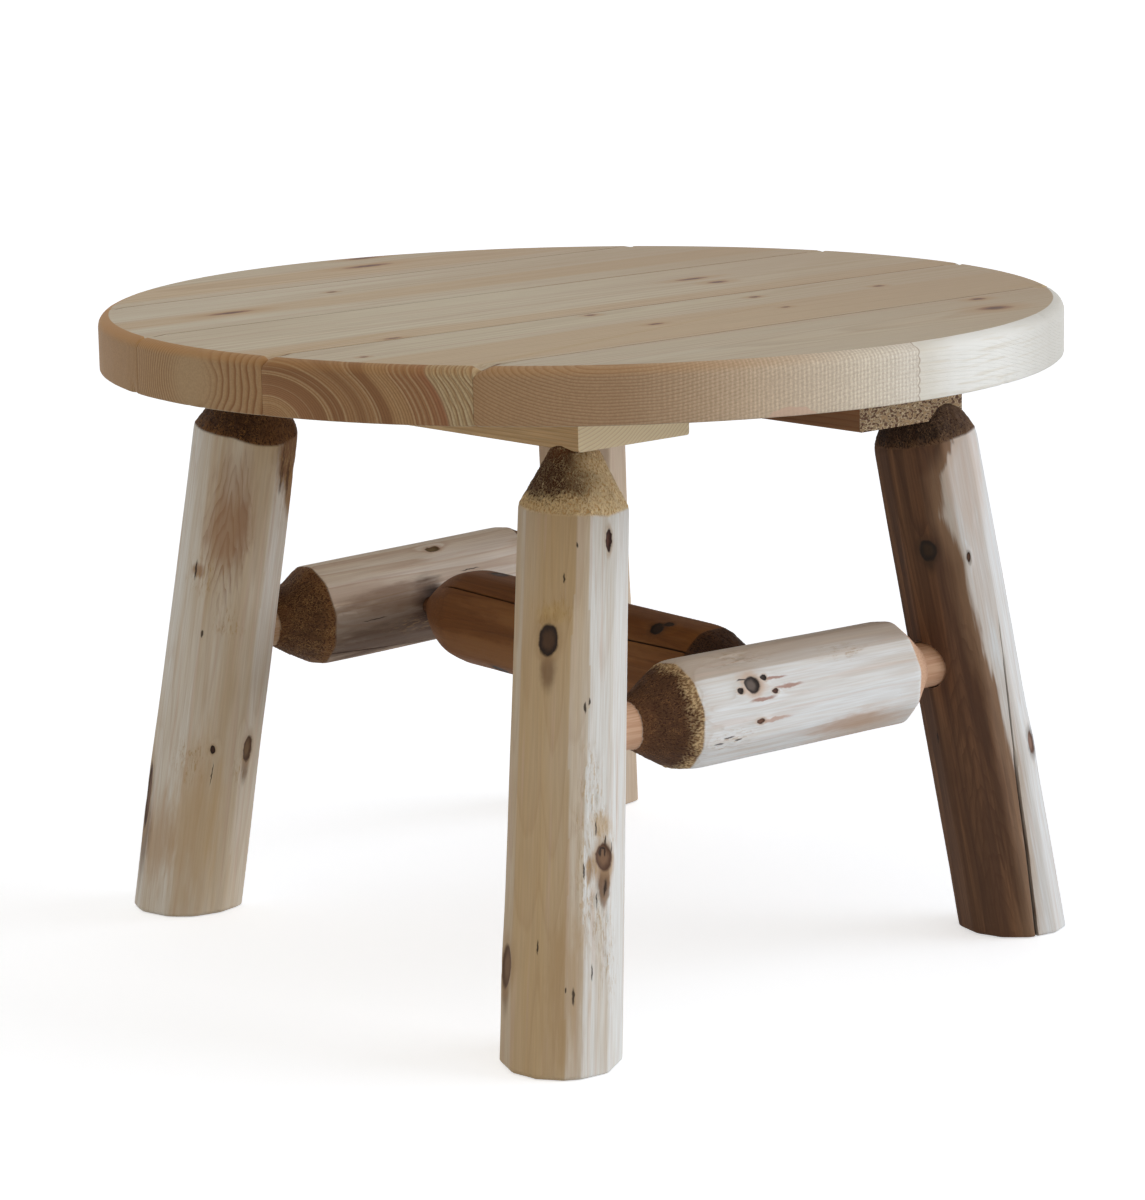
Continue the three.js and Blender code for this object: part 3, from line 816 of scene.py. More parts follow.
def log_mesh(log):
    """The log's surface as rows and columns, with how rough, torn or split each point is."""
    along, angle = np.meshgrid(log_rows(log), log_columns(log), indexing="ij")
    check, seed, axes = log["check"], log["seed"], log["axes"]
    sway = np.radians(along_path(along, check["path"])) if check else 0
    angle = angle + sway
    turn = turn_of(angle)
    body, torn, tan = log_body(log, along, angle)
    uneven = cone_unevenness * hills(along / 0.03, turn, 6, seed + 20)
    radius, rough, cut, smooth = body, 0 * body, 0 * body, 0 * body
    for side in (1,) if log["start_shoulder"] is None else (0, 1):
        slope = shoulder_cut(log, side, along, angle, body, uneven)
        share = np.clip((body - slope) / 0.0007 + 0.4, 0, 1)
        shag = log["shag"][side]
        radius = softer_least(radius, slope, log["dome"][side])
        cut = np.maximum(cut, share)
        rough = np.maximum(rough, share * shag)
        if shag < 1 and not log["blunt"][1]:
            smooth = np.maximum(smooth, share)
    rag = hills(along / 0.0026, turn, 130, seed + 21) + 0.6 * hills(along / 0.0012, turn, 190, seed + 22)
    thinnest = np.where(along > log["length"] / 2, log["blunt"][2], tenon_radius)
    on_tenon = radius < thinnest + 0.0004
    rough = rough * ~on_tenon
    radius = np.maximum(radius + rough * shred_height * rag, thinnest)
    split = 0 * radius
    if check:
        split, opening = split_share(log, along, angle - sway, rough)
        radius = radius - split * split_depth * opening
    if log["start_shoulder"] is None:
        ease = 0.0022 + 0.0012 * hills(along / 0.05, turn, 9, seed + 23)
        radius = radius - np.clip(ease - along, 0, 1) ** 2 / ease
        tilt = -(np.cos(angle) * axes[2][0] + np.sin(angle) * axes[2][1]) / axes[2][2]
        along = along + radius * tilt * np.clip(1 - along / foot_trim_height, 0, 1)
    else:
        radius[0] -= tenon_chamfer
    radius[-1] -= tenon_chamfer
    tenon = np.maximum(cut * on_tenon, smooth)
    marks = {"cone": rough, "tenon": tenon, "torn": torn, "split": split, "tan": tan}
    if log["heart"]:
        marks["heart"] = heart_depth(log, along, angle)
    return np.stack([radius * np.cos(angle), radius * np.sin(angle), along], axis=-1), marks


def make_log(name, log, material):
    """One closed mesh for a log, placed along its own line."""
    points, marks = log_mesh(log)
    rows, columns = points.shape[:2]
    index, beside = closed_grid(rows, columns)
    faces = quads(index[:-1], beside[:-1], beside[1:], index[1:])
    faces += [(int(b), int(a), rows * columns) for a, b in zip(index[0], beside[0])]
    faces += [(int(a), int(b), rows * columns + 1) for a, b in zip(index[-1], beside[-1])]
    axes = np.array(log["axes"])
    placed = np.vstack([points.reshape(-1, 3), points[0].mean(0), points[-1].mean(0)])
    placed = placed @ axes[:3, :3].T + axes[:3, 3]
    piece = mesh_object(name, placed, faces, material, smooth=60)
    for mark, values in marks.items():
        attribute = piece.data.attributes.new(mark, "FLOAT", "POINT")
        attribute.data.foreach_set("value", np.append(values.reshape(-1), [0, 0]).astype(np.float32))
    return piece


def bore(piece, start, end, radius):
    """Bores a blind round hole into a log, along the line of the tenon that goes into it."""
    line = end - start
    bpy.ops.mesh.primitive_cylinder_add(vertices=72, radius=radius, depth=line.length)
    bit = bpy.context.object
    to_middle = Matrix.Translation((0, 0, line.length / 2))
    bit.matrix_world = log_axes(start, end, Vector((0.3, 0.5, 0.8))) @ to_middle
    bpy.context.view_layer.update()
    cut = piece.modifiers.new("bore", "BOOLEAN")
    cut.operation = "DIFFERENCE"
    cut.object = bit
    cut.solver = "EXACT"
    bpy.context.view_layer.objects.active = piece
    with bpy.context.temp_override(object=piece, active_object=piece):
        bpy.ops.object.modifier_apply(modifier="bore")
    bpy.data.objects.remove(bit)


def painted(place, name):
    """A value that the mesh carries at each point."""
    return flow(place.tree, "ShaderNodeAttribute", out="Fac", attribute_name=name)


def on_log(log, place, mark, deep, raised=0.0):
    """How far a point is from a mark on a log's surface, where the mark's own edge is 1."""
    height, degrees, half_width, half_length = mark
    turn, radius = math.radians(degrees), radius_at(log, height / log["length"])
    centre = (radius * math.cos(turn), radius * math.sin(turn), height + raised)
    return reach_of(place, centre, (deep, half_width, half_length), -turn)


def stained(log, place, mark, edge, amount):
    """Where a stain or a patch of painted shade lies on a log, with a ragged edge."""
    rag = mottle(place, (160, 160, 26), 3.0, 0.6) - 0.5
    return fade(rag * (edge * 2) + on_log(log, place, mark, 0.045), 1.0 - edge, 1.0 + 0.3 * edge, amount, 0.0)


def peeled(log, place, moved, ring, fibre):
    """The peeled wood itself: pale or tan by facet, the tan partly painted shade on facets turned
    from the light, then streaks, rings and fibres, and where a log has it, its brown heart. With
    the colour comes how far a point is into the heart."""
    broad = mottle(moved, (42, 42, 5), 3.0)
    streak = mottle(moved, (170, 170, 6), 3.0)
    blush = mottle(moved + (2, 4, 8), (230, 230, 9))
    rings = stops(ring, (0.0, white), (0.7, (244, 238, 228)), (0.92, (210, 184, 160)),
                  (1.0, (252, 249, 244)))
    colour = tint(fade((broad - 0.5) * 1.1 + painted(place, "tan"), 0.0, 1.0), log["pale"], log["tan"])
    colour = tint(fade(streak, 0.5, 0.75, 0.0, 0.4), colour, log["streak"])
    colour = tint(fade(blush, 0.52, 0.72, 0.0, 0.4), colour, log["blush"])
    colour = tint(log["rings"], colour, rings, "MULTIPLY")
    colour = tint(fade(fibre, 0.3, 0.72, 0.24, 0.0), colour, log["fibre"])
    heart = log["heart"]
    if not heart:
        return colour, None
    inside = (mottle(moved, (300, 300, 26), 3.0) - 0.5) * 0.011 + painted(place, "heart")
    shift = shift_of(log)
    loops = growth_rings(pith_distance(place, 0.02, shift), 420, place, shift)
    brown = tint(fade(broad, 0.35, 0.65), heart["dark"], heart["light"])
    brown = tint(fade(streak, 0.42, 0.62, 0.6, 0.0), brown, heart["vein"])
    brown = tint(fade(loops, 0.6, 0.95, 0.0, 0.45), brown, heart["vein"])
    brown = tint(fade(fibre, 0.3, 0.72, 0.4, 0.0), brown, heart["vein"])
    brown = tint(fade(inside, 0.001, 0.018, 0.7, 0.0), brown, heart["border"])
    colour = tint(fade(inside, -0.010, -0.001, 0.0, 0.45), colour, heart["beside"])
    return tint(fade(inside, -0.0018, 0.0030), colour, brown), inside


def marked(log, place, moved, colour, into_heart):
    """The marks on a peeled log: flame-shaped grain, stains and some patches of painted shade, torn fibres,
    knots and slits.
    """
    for *mark, apart, slope, vein in log["flames"]:
        turn = math.radians(mark[1])
        across = reckon("DOT_PRODUCT", place, (-math.sin(turn), math.cos(turn), 0))
        climb = abs(across) * slope + parts_of(place)[2]
        flame = reckon("FRACT", climb * (1 / apart) + mottle(moved, (110, 110, 30)) * 2.4)
        colour = tint(stained(log, place, mark, 0.5, 0.65) * fade(flame, 0.45, 1.0), colour, vein)
    for *mark, edge, stain, amount in log["stains_and_shading"]:
        share = stained(log, place, mark, edge, amount)
        if into_heart:
            share = share * fade(into_heart, -0.0004, 0.0008, 1.0, 0.0)
        colour = tint(share, colour, stain)
    torn = painted(place, "torn")
    rag = mottle(moved, (700, 700, 150), 3.0, 0.65)
    colour = tint(torn * fade(rag, 0.52, 0.62, 0.0, 0.55), colour, log["torn_tint"])
    for height, degrees, half_width, half_length, tail, core, rim in log["knots"]:
        if tail:
            streak = (height, degrees, half_width, half_length * 1.7)
            below = on_log(log, place, streak, mark_depth, tail * half_length)
            colour = tint(fade(below, 0.3, 1.1, 0.75, 0.0), colour, log["tail"])
        reach = on_log(log, place, (height, degrees, half_width, half_length), mark_depth)
        colour = tint(fade(reach, 1.0, 1.9, 0.5, 0.0), colour, log["halo"])
        eye = tint(fade(reach, 0.30, 0.90), core, rim)
        colour = tint(fade(reach, 0.88, 1.16, 1.0, 0.0), colour, eye)
    for slit in log["slits"]:
        colour = tint(fade(on_log(log, place, slit, mark_depth), 0.5, 1.1, 0.9, 0.0), colour, (44, 30, 20))
    return colour, torn * (rag * 3.0)


def shoulder_wool(log, place, moved):
    """The rough shoulders: pale inside, dark, then lighter out to the edge, with loose fibres
    over them, and painted lighter on the side towards the light. With the colour comes how far
    they stand out."""
    shag, worms = squiggles(moved, (820, 820, 400))
    stain = mottle(moved, (140, 140, 60), 3.0)
    blotch = mottle(moved, (60, 60, 60))
    flat = place * (1, 1, 0)
    out_share = reckon("LENGTH", flat) / max(log["radii"])
    blurred = blotch * 0.22 + out_share + (shag - 0.5) * 0.16
    inner, dark, outer, fleck = log["cone_tones"]
    band = 0.8 * log["cone_band"]
    wool = stops(blurred * 0.8, (0.42, inner), (0.55, dark), (band - 0.05, dark), (band + 0.03, outer),
                 (1.0, outer))
    # Painted light: the side of the shoulder towards cone_light_side takes the outer, paler tone, as strongly
    # as cone_light says.
    light_turn = math.radians(log["cone_light_side"])
    toward_light = (math.cos(light_turn), math.sin(light_turn), 0)
    lit = blotch * 0.8 + reckon("DOT_PRODUCT", reckon("NORMALIZE", flat), toward_light)
    wool = tint(fade(lit, 0.5, 1.5, 0.0, log["cone_light"]), wool, outer)
    wool = tint(worms * fade(stain, 0.35, 0.6, 0.2, 0.6), wool, fleck)
    wool = tint(fade(shag, 0.32, 0.60, 0.75, 0.0), wool, log["wool_shade"], "MULTIPLY")
    return wool, (shag + worms * 0.5) * 4.0


def log_material(name, log):
    """Peeled softwood: pale with tan streaks, rough brown shoulders, knots, checks and stains."""
    material, scene_place = new_material(name)
    from_start = scene_place - tuple(log["axes"].translation)
    place = place_of(*[reckon("DOT_PRODUCT", from_start, tuple(log["axes"].col[i][:3])) for i in range(3)])
    shift = shift_of(log)
    moved = place + shift
    ring = growth_rings(pith_distance(place, 0.012, shift), 620, place, shift)
    fibre = mottle(moved, (820, 820, 26))
    colour, into_heart = peeled(log, place, moved, ring, fibre)
    colour, torn_relief = marked(log, place, moved, colour, into_heart)
    wool, wool_relief = shoulder_wool(log, place, moved)
    cone = painted(place, "cone")
    colour = tint(cone, colour, wool)
    cut_face = tint(fade(fibre, 0.35, 0.65), *log["tenon_tones"])
    colour = tint(painted(place, "tenon"), colour, cut_face)
    colour = tint(painted(place, "split"), colour, (26, 18, 12))
    height = torn_relief + (cone * wool_relief + (fibre * 0.6 + ring * 0.2))
    return finish(material, colour, height, 0.0002, 0.74)


knot_core = (104, 82, 64)
knot_rim = (46, 32, 25)

# What a log is like where it has nothing else of its own
plain_log = {
    "pale": (236, 236, 232), "tan": (221, 196, 158), "streak": (212, 190, 158), "blush": (218, 192, 172),
    "fibre": (178, 154, 122), "halo": (178, 146, 108), "tail": (124, 94, 68), "torn_tint": (186, 150, 96),
    "rings": 0.2, "tenon_tones": ((188, 150, 116), (206, 176, 144)), "wool_shade": (172, 140, 106),
    "cone_band": 1.04, "cone_light": 0.5, "cone_light_side": 40, "step": coarse_step, "arris": 0.00016,
    "shag": (1, 1), "dome": (0.0005, 0.0005), "steep": (1, 1), "lean": ((0, 0, 0, 0), (0, 0, 0, 0)),
    "start_shoulder": None, "blunt": (0, 0, tenon_radius), "loose": (tenon_clearance, tenon_clearance),
    "check": None, "heart": None, "tears": [], "flames": [], "stains_and_shading": [], "slits": [],
}

# Each leg's foot and head in plan, its radii at the floor and at the cleat, and how far its
# shoulder is below the cleat. A shoulder's lean is how far it leans, towards which degrees,
# how far it lies lower, and how far it twists. A log's tans_and_shading give each facet's share
# of tan, partly the wood's own tone and partly painted shade. Marks are given by height along
# the log and degrees from the front round to the right, then half width and half length. A knot
# adds the way to its streak in half lengths, and the tones of its core and rim. A flame adds how
# far its lines are apart, how steep they are, and their tone. A stain adds how ragged its edge
# is, its tone, and how strong it is; some of the stains are painted shade. The heart's edge is
# given in degrees by height. So is a check's path, from the check's own degrees, and its half
# width is given by height too.
legs = {
    "front_left": {
        **plain_log,
        "foot": (-0.25272, -0.24737), "head": (-0.1225, -0.1275), "radii": (0.03914, 0.03637), "drop": 0.0324,
        "seed": 11, "step": 0.0012, "flat_edges": [-163, -131, -101, -72, -43, -25, 4, 38, 76, 118, 158],
        # Tan from the back round the left side, pale from the front round towards the window: partly painted
        # shade.
        "tans_and_shading": [0.6, 0.7, 0.9, 0.95, 0.65, 0.05, -0.2, 0.0, 0.1, 0.4, 0.5],
        "lean": ((0, 0, 0, 0), (0.0165, -44, 0.0055, 0)), "tan": (212, 186, 146), "cone_band": 0.94,
        "cone_light": 1.0, "cone_light_side": 20, "wool_shade": (214, 188, 156),
        "cone_tones": ((124, 82, 46), (84, 50, 24), (250, 224, 176), (255, 240, 200)),
        "knots": [(0.271, -68, 0.0068, 0.0106, -1.9, (84, 62, 46), (42, 29, 22)),
                  (0.341, -5, 0.0021, 0.0080, 0, (84, 50, 38), (48, 26, 20)),
                  (0.1290, -5, 0.0062, 0.0088, -2.0, (132, 100, 74), (88, 60, 42)),
                  (0.059, -116, 0.0090, 0.0140, -0.8, (124, 96, 70), (92, 66, 46))],
        "slits": [(0.036, -35, 0.0010, 0.0068), (0.147, -15, 0.0008, 0.0052), (0.140, -4, 0.0007, 0.0046),
                  (0.118, -27, 0.0007, 0.0060), (0.136, 3, 0.0006, 0.0050), (0.100, -12, 0.0006, 0.0064),
                  (0.040, -42, 0.0008, 0.0022), (0.053, -16, 0.0009, 0.0062),
                  (0.068, -70, 0.0007, 0.0055), (0.226, -29, 0.0009, 0.0045), (0.230, -25, 0.0008, 0.0030),
                  (0.335, -40, 0.0010, 0.0022), (0.313, -53, 0.0008, 0.0045), (0.1320, -9, 0.0012, 0.0036),
                  (0.1325, -3, 0.0010, 0.0030), (0.1345, -6, 0.0026, 0.0009), (0.109, -3, 0.0012, 0.0070)],
        "tears": [(0.289, -66, 0.014, 0.012), (0.150, -12, 0.016, 0.014), (0.115, -24, 0.008, 0.045),
                  (0.090, -8, 0.012, 0.024), (0.060, 6, 0.009, 0.022), (0.175, -20, 0.009, 0.024)],
        "stains_and_shading": [(0.124, -5, 0.0105, 0.0160, 0.4, (184, 146, 104), 0.6),
                   (0.112, -4, 0.0046, 0.0180, 0.3, (128, 92, 62), 0.7),
                   (0.288, -64, 0.012, 0.010, 0.7, (206, 174, 116), 0.6),
                   (0.150, -8, 0.010, 0.010, 0.7, (196, 158, 100), 0.6),
                   (0.120, -22, 0.0028, 0.010, 0.5, (160, 118, 66), 0.7),
                   (0.045, -42, 0.0150, 0.060, 0.7, (190, 158, 116), 0.6)],
    },
    "back_left": {
        **plain_log,
        "foot": (-0.18706, 0.23741), "head": (-0.1225, 0.2255), "radii": (0.03982, 0.03849), "drop": 0.0261,
        "seed": 23, "flat_edges": [-165, -128, -96, -62, -34, 2, 36, 72, 112, 152],
        "tans_and_shading": [0.3, 0.25, 0.3, 0.55, 0.6, 0.45, 0.35, 0.3, 0.4, 0.3],
        "lean": ((0, 0, 0, 0), (0.0068, -52, -0.0031, 0.0046)), "arris": 0.0009,
        "pale": (244, 244, 240), "tan": (208, 184, 146),
        "flames": [(0.284, -46, 0.019, 0.060, 0.024, 5.0, (150, 104, 80))],
        "cone_light": 0.9, "cone_tones": ((132, 90, 46), (76, 46, 22), (118, 80, 44), (176, 132, 76)),
        "knots": [(0.124, 9, 0.0046, 0.0095, -1.4, (120, 92, 64), (84, 58, 40)),
                  (0.122, -33, 0.0022, 0.0028, 0, (60, 36, 26), (34, 22, 16)),
                  (0.078, -118, 0.0060, 0.0240, 0, (108, 80, 58), (66, 44, 30))],
        "slits": [(0.104, -31, 0.0004, 0.010), (0.250, -78, 0.0012, 0.008), (0.205, -60, 0.0008, 0.003)],
        "tears": [(0.246, -66, 0.016, 0.014), (0.215, -30, 0.010, 0.012), (0.112, -55, 0.012, 0.018),
                  (0.110, 4, 0.010, 0.012), (0.332, 25, 0.016, 0.032)],
        "stains_and_shading": [(0.296, -48, 0.020, 0.050, 0.6, (184, 154, 128), 0.5),
                   (0.280, -30, 0.006, 0.036, 0.5, (166, 132, 106), 0.5),
                   (0.338, 22, 0.0165, 0.024, 0.5, (128, 86, 44), 0.95),
                   (0.065, -44, 0.0240, 0.075, 0.7, (204, 174, 130), 0.6),
                   (0.283, -43, 0.0150, 0.030, 0.6, (168, 126, 90), 0.55),
                   (0.315, 33, 0.0090, 0.020, 0.5, (152, 112, 68), 0.9),
                   (0.330, 12, 0.0020, 0.020, 0.6, (84, 54, 32), 0.8),
                   (0.322, 26, 0.0022, 0.016, 0.6, (84, 54, 32), 0.8),
                   (0.050, -84, 0.018, 0.038, 0.7, (190, 158, 120), 0.6),
                   (0.055, -114, 0.012, 0.048, 0.6, (116, 84, 58), 0.7),
                   (0.250, -76, 0.007, 0.006, 0.6, (160, 118, 84), 0.7)],
    },
    "front_right": {
        **plain_log,
        "foot": (0.19181, -0.23693), "head": (0.1265, -0.2100), "radii": (0.03743, 0.03629), "drop": 0.0135,
        "seed": 37, "flat_edges": [-160, -124, -92, -58, -28, 6, 36, 74, 112, 154], "arris": 0.0004,
        "tans_and_shading": [0.3, 0.5, 0.5, 0.5, 0.3, 0.3, 0.1, 0.2, 0.2, 0.3], "dome": (0.0005, 0.0012),
        "pale": (236, 241, 244), "tan": (228, 218, 206),
        "flames": [(0.130, -52, 0.018, 0.130, 0.021, 3.4, (84, 56, 38))],
        "cone_tones": ((72, 46, 30), (54, 34, 20), (120, 88, 60), (164, 130, 94)),
        "knots": [(0.293, -63, 0.0064, 0.0074, -1.0, (58, 42, 28), (34, 24, 17)),
                  (0.283, -20, 0.0014, 0.0036, 0, (84, 54, 34), (52, 34, 24)),
                  (0.136, 27, 0.0046, 0.0086, 0, (134, 102, 84), (92, 64, 48))],
        "slits": [(0.155, -94, 0.0010, 0.006)],
        "stains_and_shading": [(0.345, -6, 0.020, 0.055, 0.5, (212, 188, 168), 0.55),
                   (0.270, -6, 0.010, 0.060, 0.6, (214, 194, 176), 0.4)],
        "check": {"degrees": -8, "path": [(0.0, -11), (0.005, -11), (0.064, -4), (0.108, 0), (0.174, 7),
                                          (0.214, 11), (0.25, 14), (0.40, 14)],
                  "width": [(0, 0.0013), (0.06, 0.0011), (0.12, 0.0008), (0.17, 0.0005), (0.22, 0.0003),
                            (0.24, 0.0), (0.4, 0.0)]},
        "heart": {"edge": [(0, -18), (0.032, -14), (0.074, -9), (0.116, -6), (0.149, -11), (0.185, -11),
                           (0.214, -21), (0.257, -25), (0.280, -25), (0.315, -38), (0.345, -34), (0.364, -13),
                           (0.4, -10)],
                  "far_edge": -176, "dark": (112, 78, 54), "light": (134, 98, 70), "vein": (72, 48, 34),
                  "border": (158, 126, 98), "beside": (196, 172, 146)},
        "halo": (66, 46, 31), "tail": (66, 46, 31), "streak": (226, 216, 204), "blush": (226, 208, 196),
    },
    "back_right": {
        **plain_log,
        "foot": (0.23674, 0.25442), "head": (0.1265, 0.1430), "radii": (0.03466, 0.03374), "drop": 0.0258,
        "seed": 41, "flat_edges": [-158, -118, -84, -46, -10, 28, 66, 104, 140, 170],
        "tans_and_shading": [0.5, 0.6, 0.4, 0.3, 0.3, 0.4, 0.6, 0.4, 0.5, 0.5],
        "pale": (222, 204, 182), "tan": (206, 172, 138),
        "cone_tones": ((116, 82, 52), (84, 56, 36), (156, 120, 80), (190, 156, 112)),
        "knots": [(0.180, 80, 0.0070, 0.0110, -1.2, knot_core, knot_rim),
                  (0.290, -160, 0.0060, 0.0100, 0, knot_core, knot_rim),
                  (0.090, 170, 0.0050, 0.0080, -1.0, knot_core, knot_rim)],
        "tears": [(0.200, 80, 0.014, 0.016), (0.120, -150, 0.014, 0.030)],
        "stains_and_shading": [(0.300, 150, 0.022, 0.045, 0.5, (180, 146, 112), 0.6)],
    },
}
front_side = Vector((0, -1, 0))

for leg_name, leg in legs.items():
    leg_foot = Vector((*leg["foot"], 0))
    leg_head = Vector((*leg["head"], leg_head_z))
    leg["line"] = (leg_foot, leg_head)
    leg["length"] = (leg_head - leg_foot).length
    rise = leg_head_z / leg["length"]
    leg["axes"] = log_axes(leg_foot, leg_head, front_side)
    leg["end_shoulder"] = (leg_head_z - leg["drop"]) / rise
    leg["tenon_end"] = (top_under - tenon_short_of_top - tenon_radius * math.sqrt(1 - rise ** 2)) / rise
    leg["piece"] = make_log(f"leg_{leg_name}_log", leg, log_material(f"leg_{leg_name}_wood", leg))
    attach(leg["piece"], "root")
    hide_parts(f"leg_{leg_name}")


# Side stretchers
# Two more peeled logs, one for each pair of legs, with pencil-shaped shoulders and round
# tenons driven into blind mortises.
tenon_past_axis = 0.012
mortise_past_tenon = 0.002
mortise_reach = 0.08
show = 0.010

# What both side stretchers are like. Each has the legs that it ties, the heights where its
# axis meets theirs, how many times show its shoulders stand clear of them, and how loose its
# tenons are. The degrees of its marks are counted from its top, round towards the front.
plain_rail = {
    **plain_log, "step": 0.0014, "cone_band": 1.0, "pale": (250, 252, 252), "tan": (210, 196, 182),
    "streak": (226, 212, 194), "blush": (232, 212, 198), "fibre": (190, 170, 148),
    "halo": (204, 168, 136), "torn_tint": (184, 154, 116),
}
side_rails = {
    "front": {
        **plain_rail,
        "between": ("front_left", "front_right"), "heights": (0.193, 0.1994), "radii": (0.03912, 0.03686),
        "shows": (0.95, -0.1), "loose": (tenon_clearance, 0.0013), "seed": 53,
        # Tan along the top, under the table top, pale down the front towards the window: partly painted
        # shade.
        "tans_and_shading": [0.5, 0.5, 0.6, 0.7, 0.85, 0.75, 0.2, -0.1, 0.1, 0.4],
        "flat_edges": [-172, -138, -100, -62, -28, 8, 42, 78, 116, 150], "arris": 0.0009,
        "dome": (0.0020, 0.0008), "steep": (1, 1.5), "shag": (1, 0.12), "cone_light": 0.0,
        "tenon_tones": ((206, 160, 128), (222, 182, 150)),
        "cone_tones": ((116, 78, 48), (92, 60, 36), (222, 192, 146), (168, 124, 80)),
        "knots": [(0.129, 58, 0.0060, 0.0060, 0, (112, 100, 92), (44, 36, 33)),
                  (0.140, 53, 0.0022, 0.0026, 0, (60, 46, 40), (30, 22, 20)),
                  (0.118, 62, 0.0020, 0.0024, 0, (60, 46, 40), (30, 22, 20)),
                  (0.146, 69, 0.0016, 0.0026, 0, (90, 60, 50), (60, 38, 32)),
                  (0.132, 97, 0.0020, 0.0034, 0, (120, 84, 66), (84, 56, 42))],
        "slits": [(0.122, 51, 0.0008, 0.005), (0.098, 114, 0.0007, 0.005), (0.106, 108, 0.0007, 0.005),
                  (0.114, 112, 0.0007, 0.004)],
        "tears": [(0.105, 112, 0.010, 0.020), (0.215, 40, 0.008, 0.018), (0.13, 20, 0.010, 0.026)],
        "stains_and_shading": [(0.129, 58, 0.012, 0.013, 0.6, (228, 204, 184), 0.6),
                   (0.150, 55, 0.0012, 0.012, 0.5, (168, 116, 96), 0.8),
                   (0.134, 74, 0.0014, 0.012, 0.5, (168, 116, 96), 0.8),
                   (0.160, 66, 0.0018, 0.013, 0.5, (176, 124, 104), 0.8),
                   (0.145, 98, 0.0016, 0.015, 0.5, (196, 152, 130), 0.7),
                   (0.215, 124, 0.0090, 0.040, 0.6, (206, 172, 148), 0.7),
                   (0.23, 140, 0.018, 0.05, 0.7, (200, 164, 130), 0.5)],
    },
    "back": {
        **plain_rail,
        "between": ("back_left", "back_right"), "heights": (0.199, 0.216), "radii": (0.03799, 0.03769),
        # Pale along the top, tan down the front and underneath: partly painted shade.
        "shows": (0.1, 0.3), "seed": 67, "tans_and_shading": [0.6, 0.6, 0.5, 0.4, 0.0, -0.1, 0.1, 0.5, 0.8, 0.9],
        "flat_edges": [-170, -134, -98, -60, -26, 10, 44, 80, 118, 152],
        "pale": (255, 246, 234), "tan": (164, 136, 114), "rings": 0.55, "arris": 0.0008, "cone_light": 0.1,
        "cone_tones": ((120, 80, 46), (98, 64, 36), (134, 94, 56), (214, 172, 116)),
        "knots": [(0.179, 22, 0.0030, 0.0060, 0, (128, 108, 76), (112, 90, 62))],
        "slits": [(0.20, 60, 0.0006, 0.010), (0.11, 95, 0.0006, 0.012)],
        "tears": [(0.15, 110, 0.008, 0.026)],
        "check": {"degrees": 141, "path": [(0.0, -9), (0.074, -9), (0.12, 2), (0.169, 9), (0.4, 9)],
                  "width": [(0, 0.0), (0.070, 0.0), (0.085, 0.0005), (0.15, 0.0006), (0.19, 0.0),
                            (0.4, 0.0)]},
        # Down the front of this log the darker patches are partly its own brown and partly painted shade,
        # darkest along the lower side. The last two are painted shadow round where the cross stretcher meets
        # it.
        "stains_and_shading": [(0.11, 92, 0.016, 0.10, 0.6, (158, 136, 120), 0.55),
                   (0.16, 126, 0.020, 0.14, 0.5, (80, 55, 38), 0.8),
                   (0.11, 104, 0.016, 0.10, 0.6, (120, 98, 82), 0.5),
                   (0.10, 60, 0.010, 0.05, 0.6, (206, 178, 158), 0.5),
                   (0.135, 76, 0.012, 0.060, 0.6, (146, 116, 96), 0.55),
                   (0.162, 94, 0.026, 0.018, 0.5, (92, 66, 50), 0.75),
                   (0.165, 95, 0.019, 0.013, 0.5, (44, 28, 20), 0.9)],
    },
}


def point_on(leg, share):
    """A point on a leg's axis, at a share of its height."""
    foot, head = leg["line"]
    return foot + (head - foot) * share


def lay_rail(rail, start, end, host_radii):
    """Sets a stretcher's line and where its shoulders and tenons begin and end."""
    rail["line"] = (start, end)
    rail["length"] = (end - start).length
    rail["axes"] = log_axes(start, end, Vector((0, 0, 1)))
    reaches = [host + (radius - tenon_radius) / math.tan(shoulder_angle) + shown * show
               for host, radius, shown in zip(host_radii, rail["radii"], rail["shows"])]
    rail["start_shoulder"] = reaches[0]
    rail["end_shoulder"] = rail["length"] - reaches[1]
    rail["tenon_start"] = -tenon_past_axis
    rail["tenon_end"] = rail["length"] + tenon_past_axis


def bore_for(rail, hosts):
    """Bores each host for the rail's two tenons, a little larger than the tenon."""
    start, end = rail["line"]
    along = (end - start).normalized()
    holes = (tenon_radius + rail["loose"][0], rail["blunt"][2] + rail["loose"][1])
    for host, axis_point, outward, hole in zip(hosts, (start, end), (along, -along), holes):
        bottom = axis_point - outward * (tenon_past_axis + mortise_past_tenon)
        bore(host["piece"], bottom, axis_point + outward * mortise_reach, hole)


for rail_name, rail in side_rails.items():
    hosts = [legs[end] for end in rail["between"]]
    shares = [height / leg_head_z for height in rail["heights"]]
    ends = [point_on(host, share) for host, share in zip(hosts, shares)]
    lay_rail(rail, *ends, [radius_at(host, share) for host, share in zip(hosts, shares)])
    rail_wood = log_material(f"stretcher_{rail_name}_wood", rail)
    rail["piece"] = make_log(f"stretcher_{rail_name}_log", rail, rail_wood)
    bore_for(rail, hosts)
    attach(rail["piece"], "root")
    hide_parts(f"stretcher_{rail_name}")


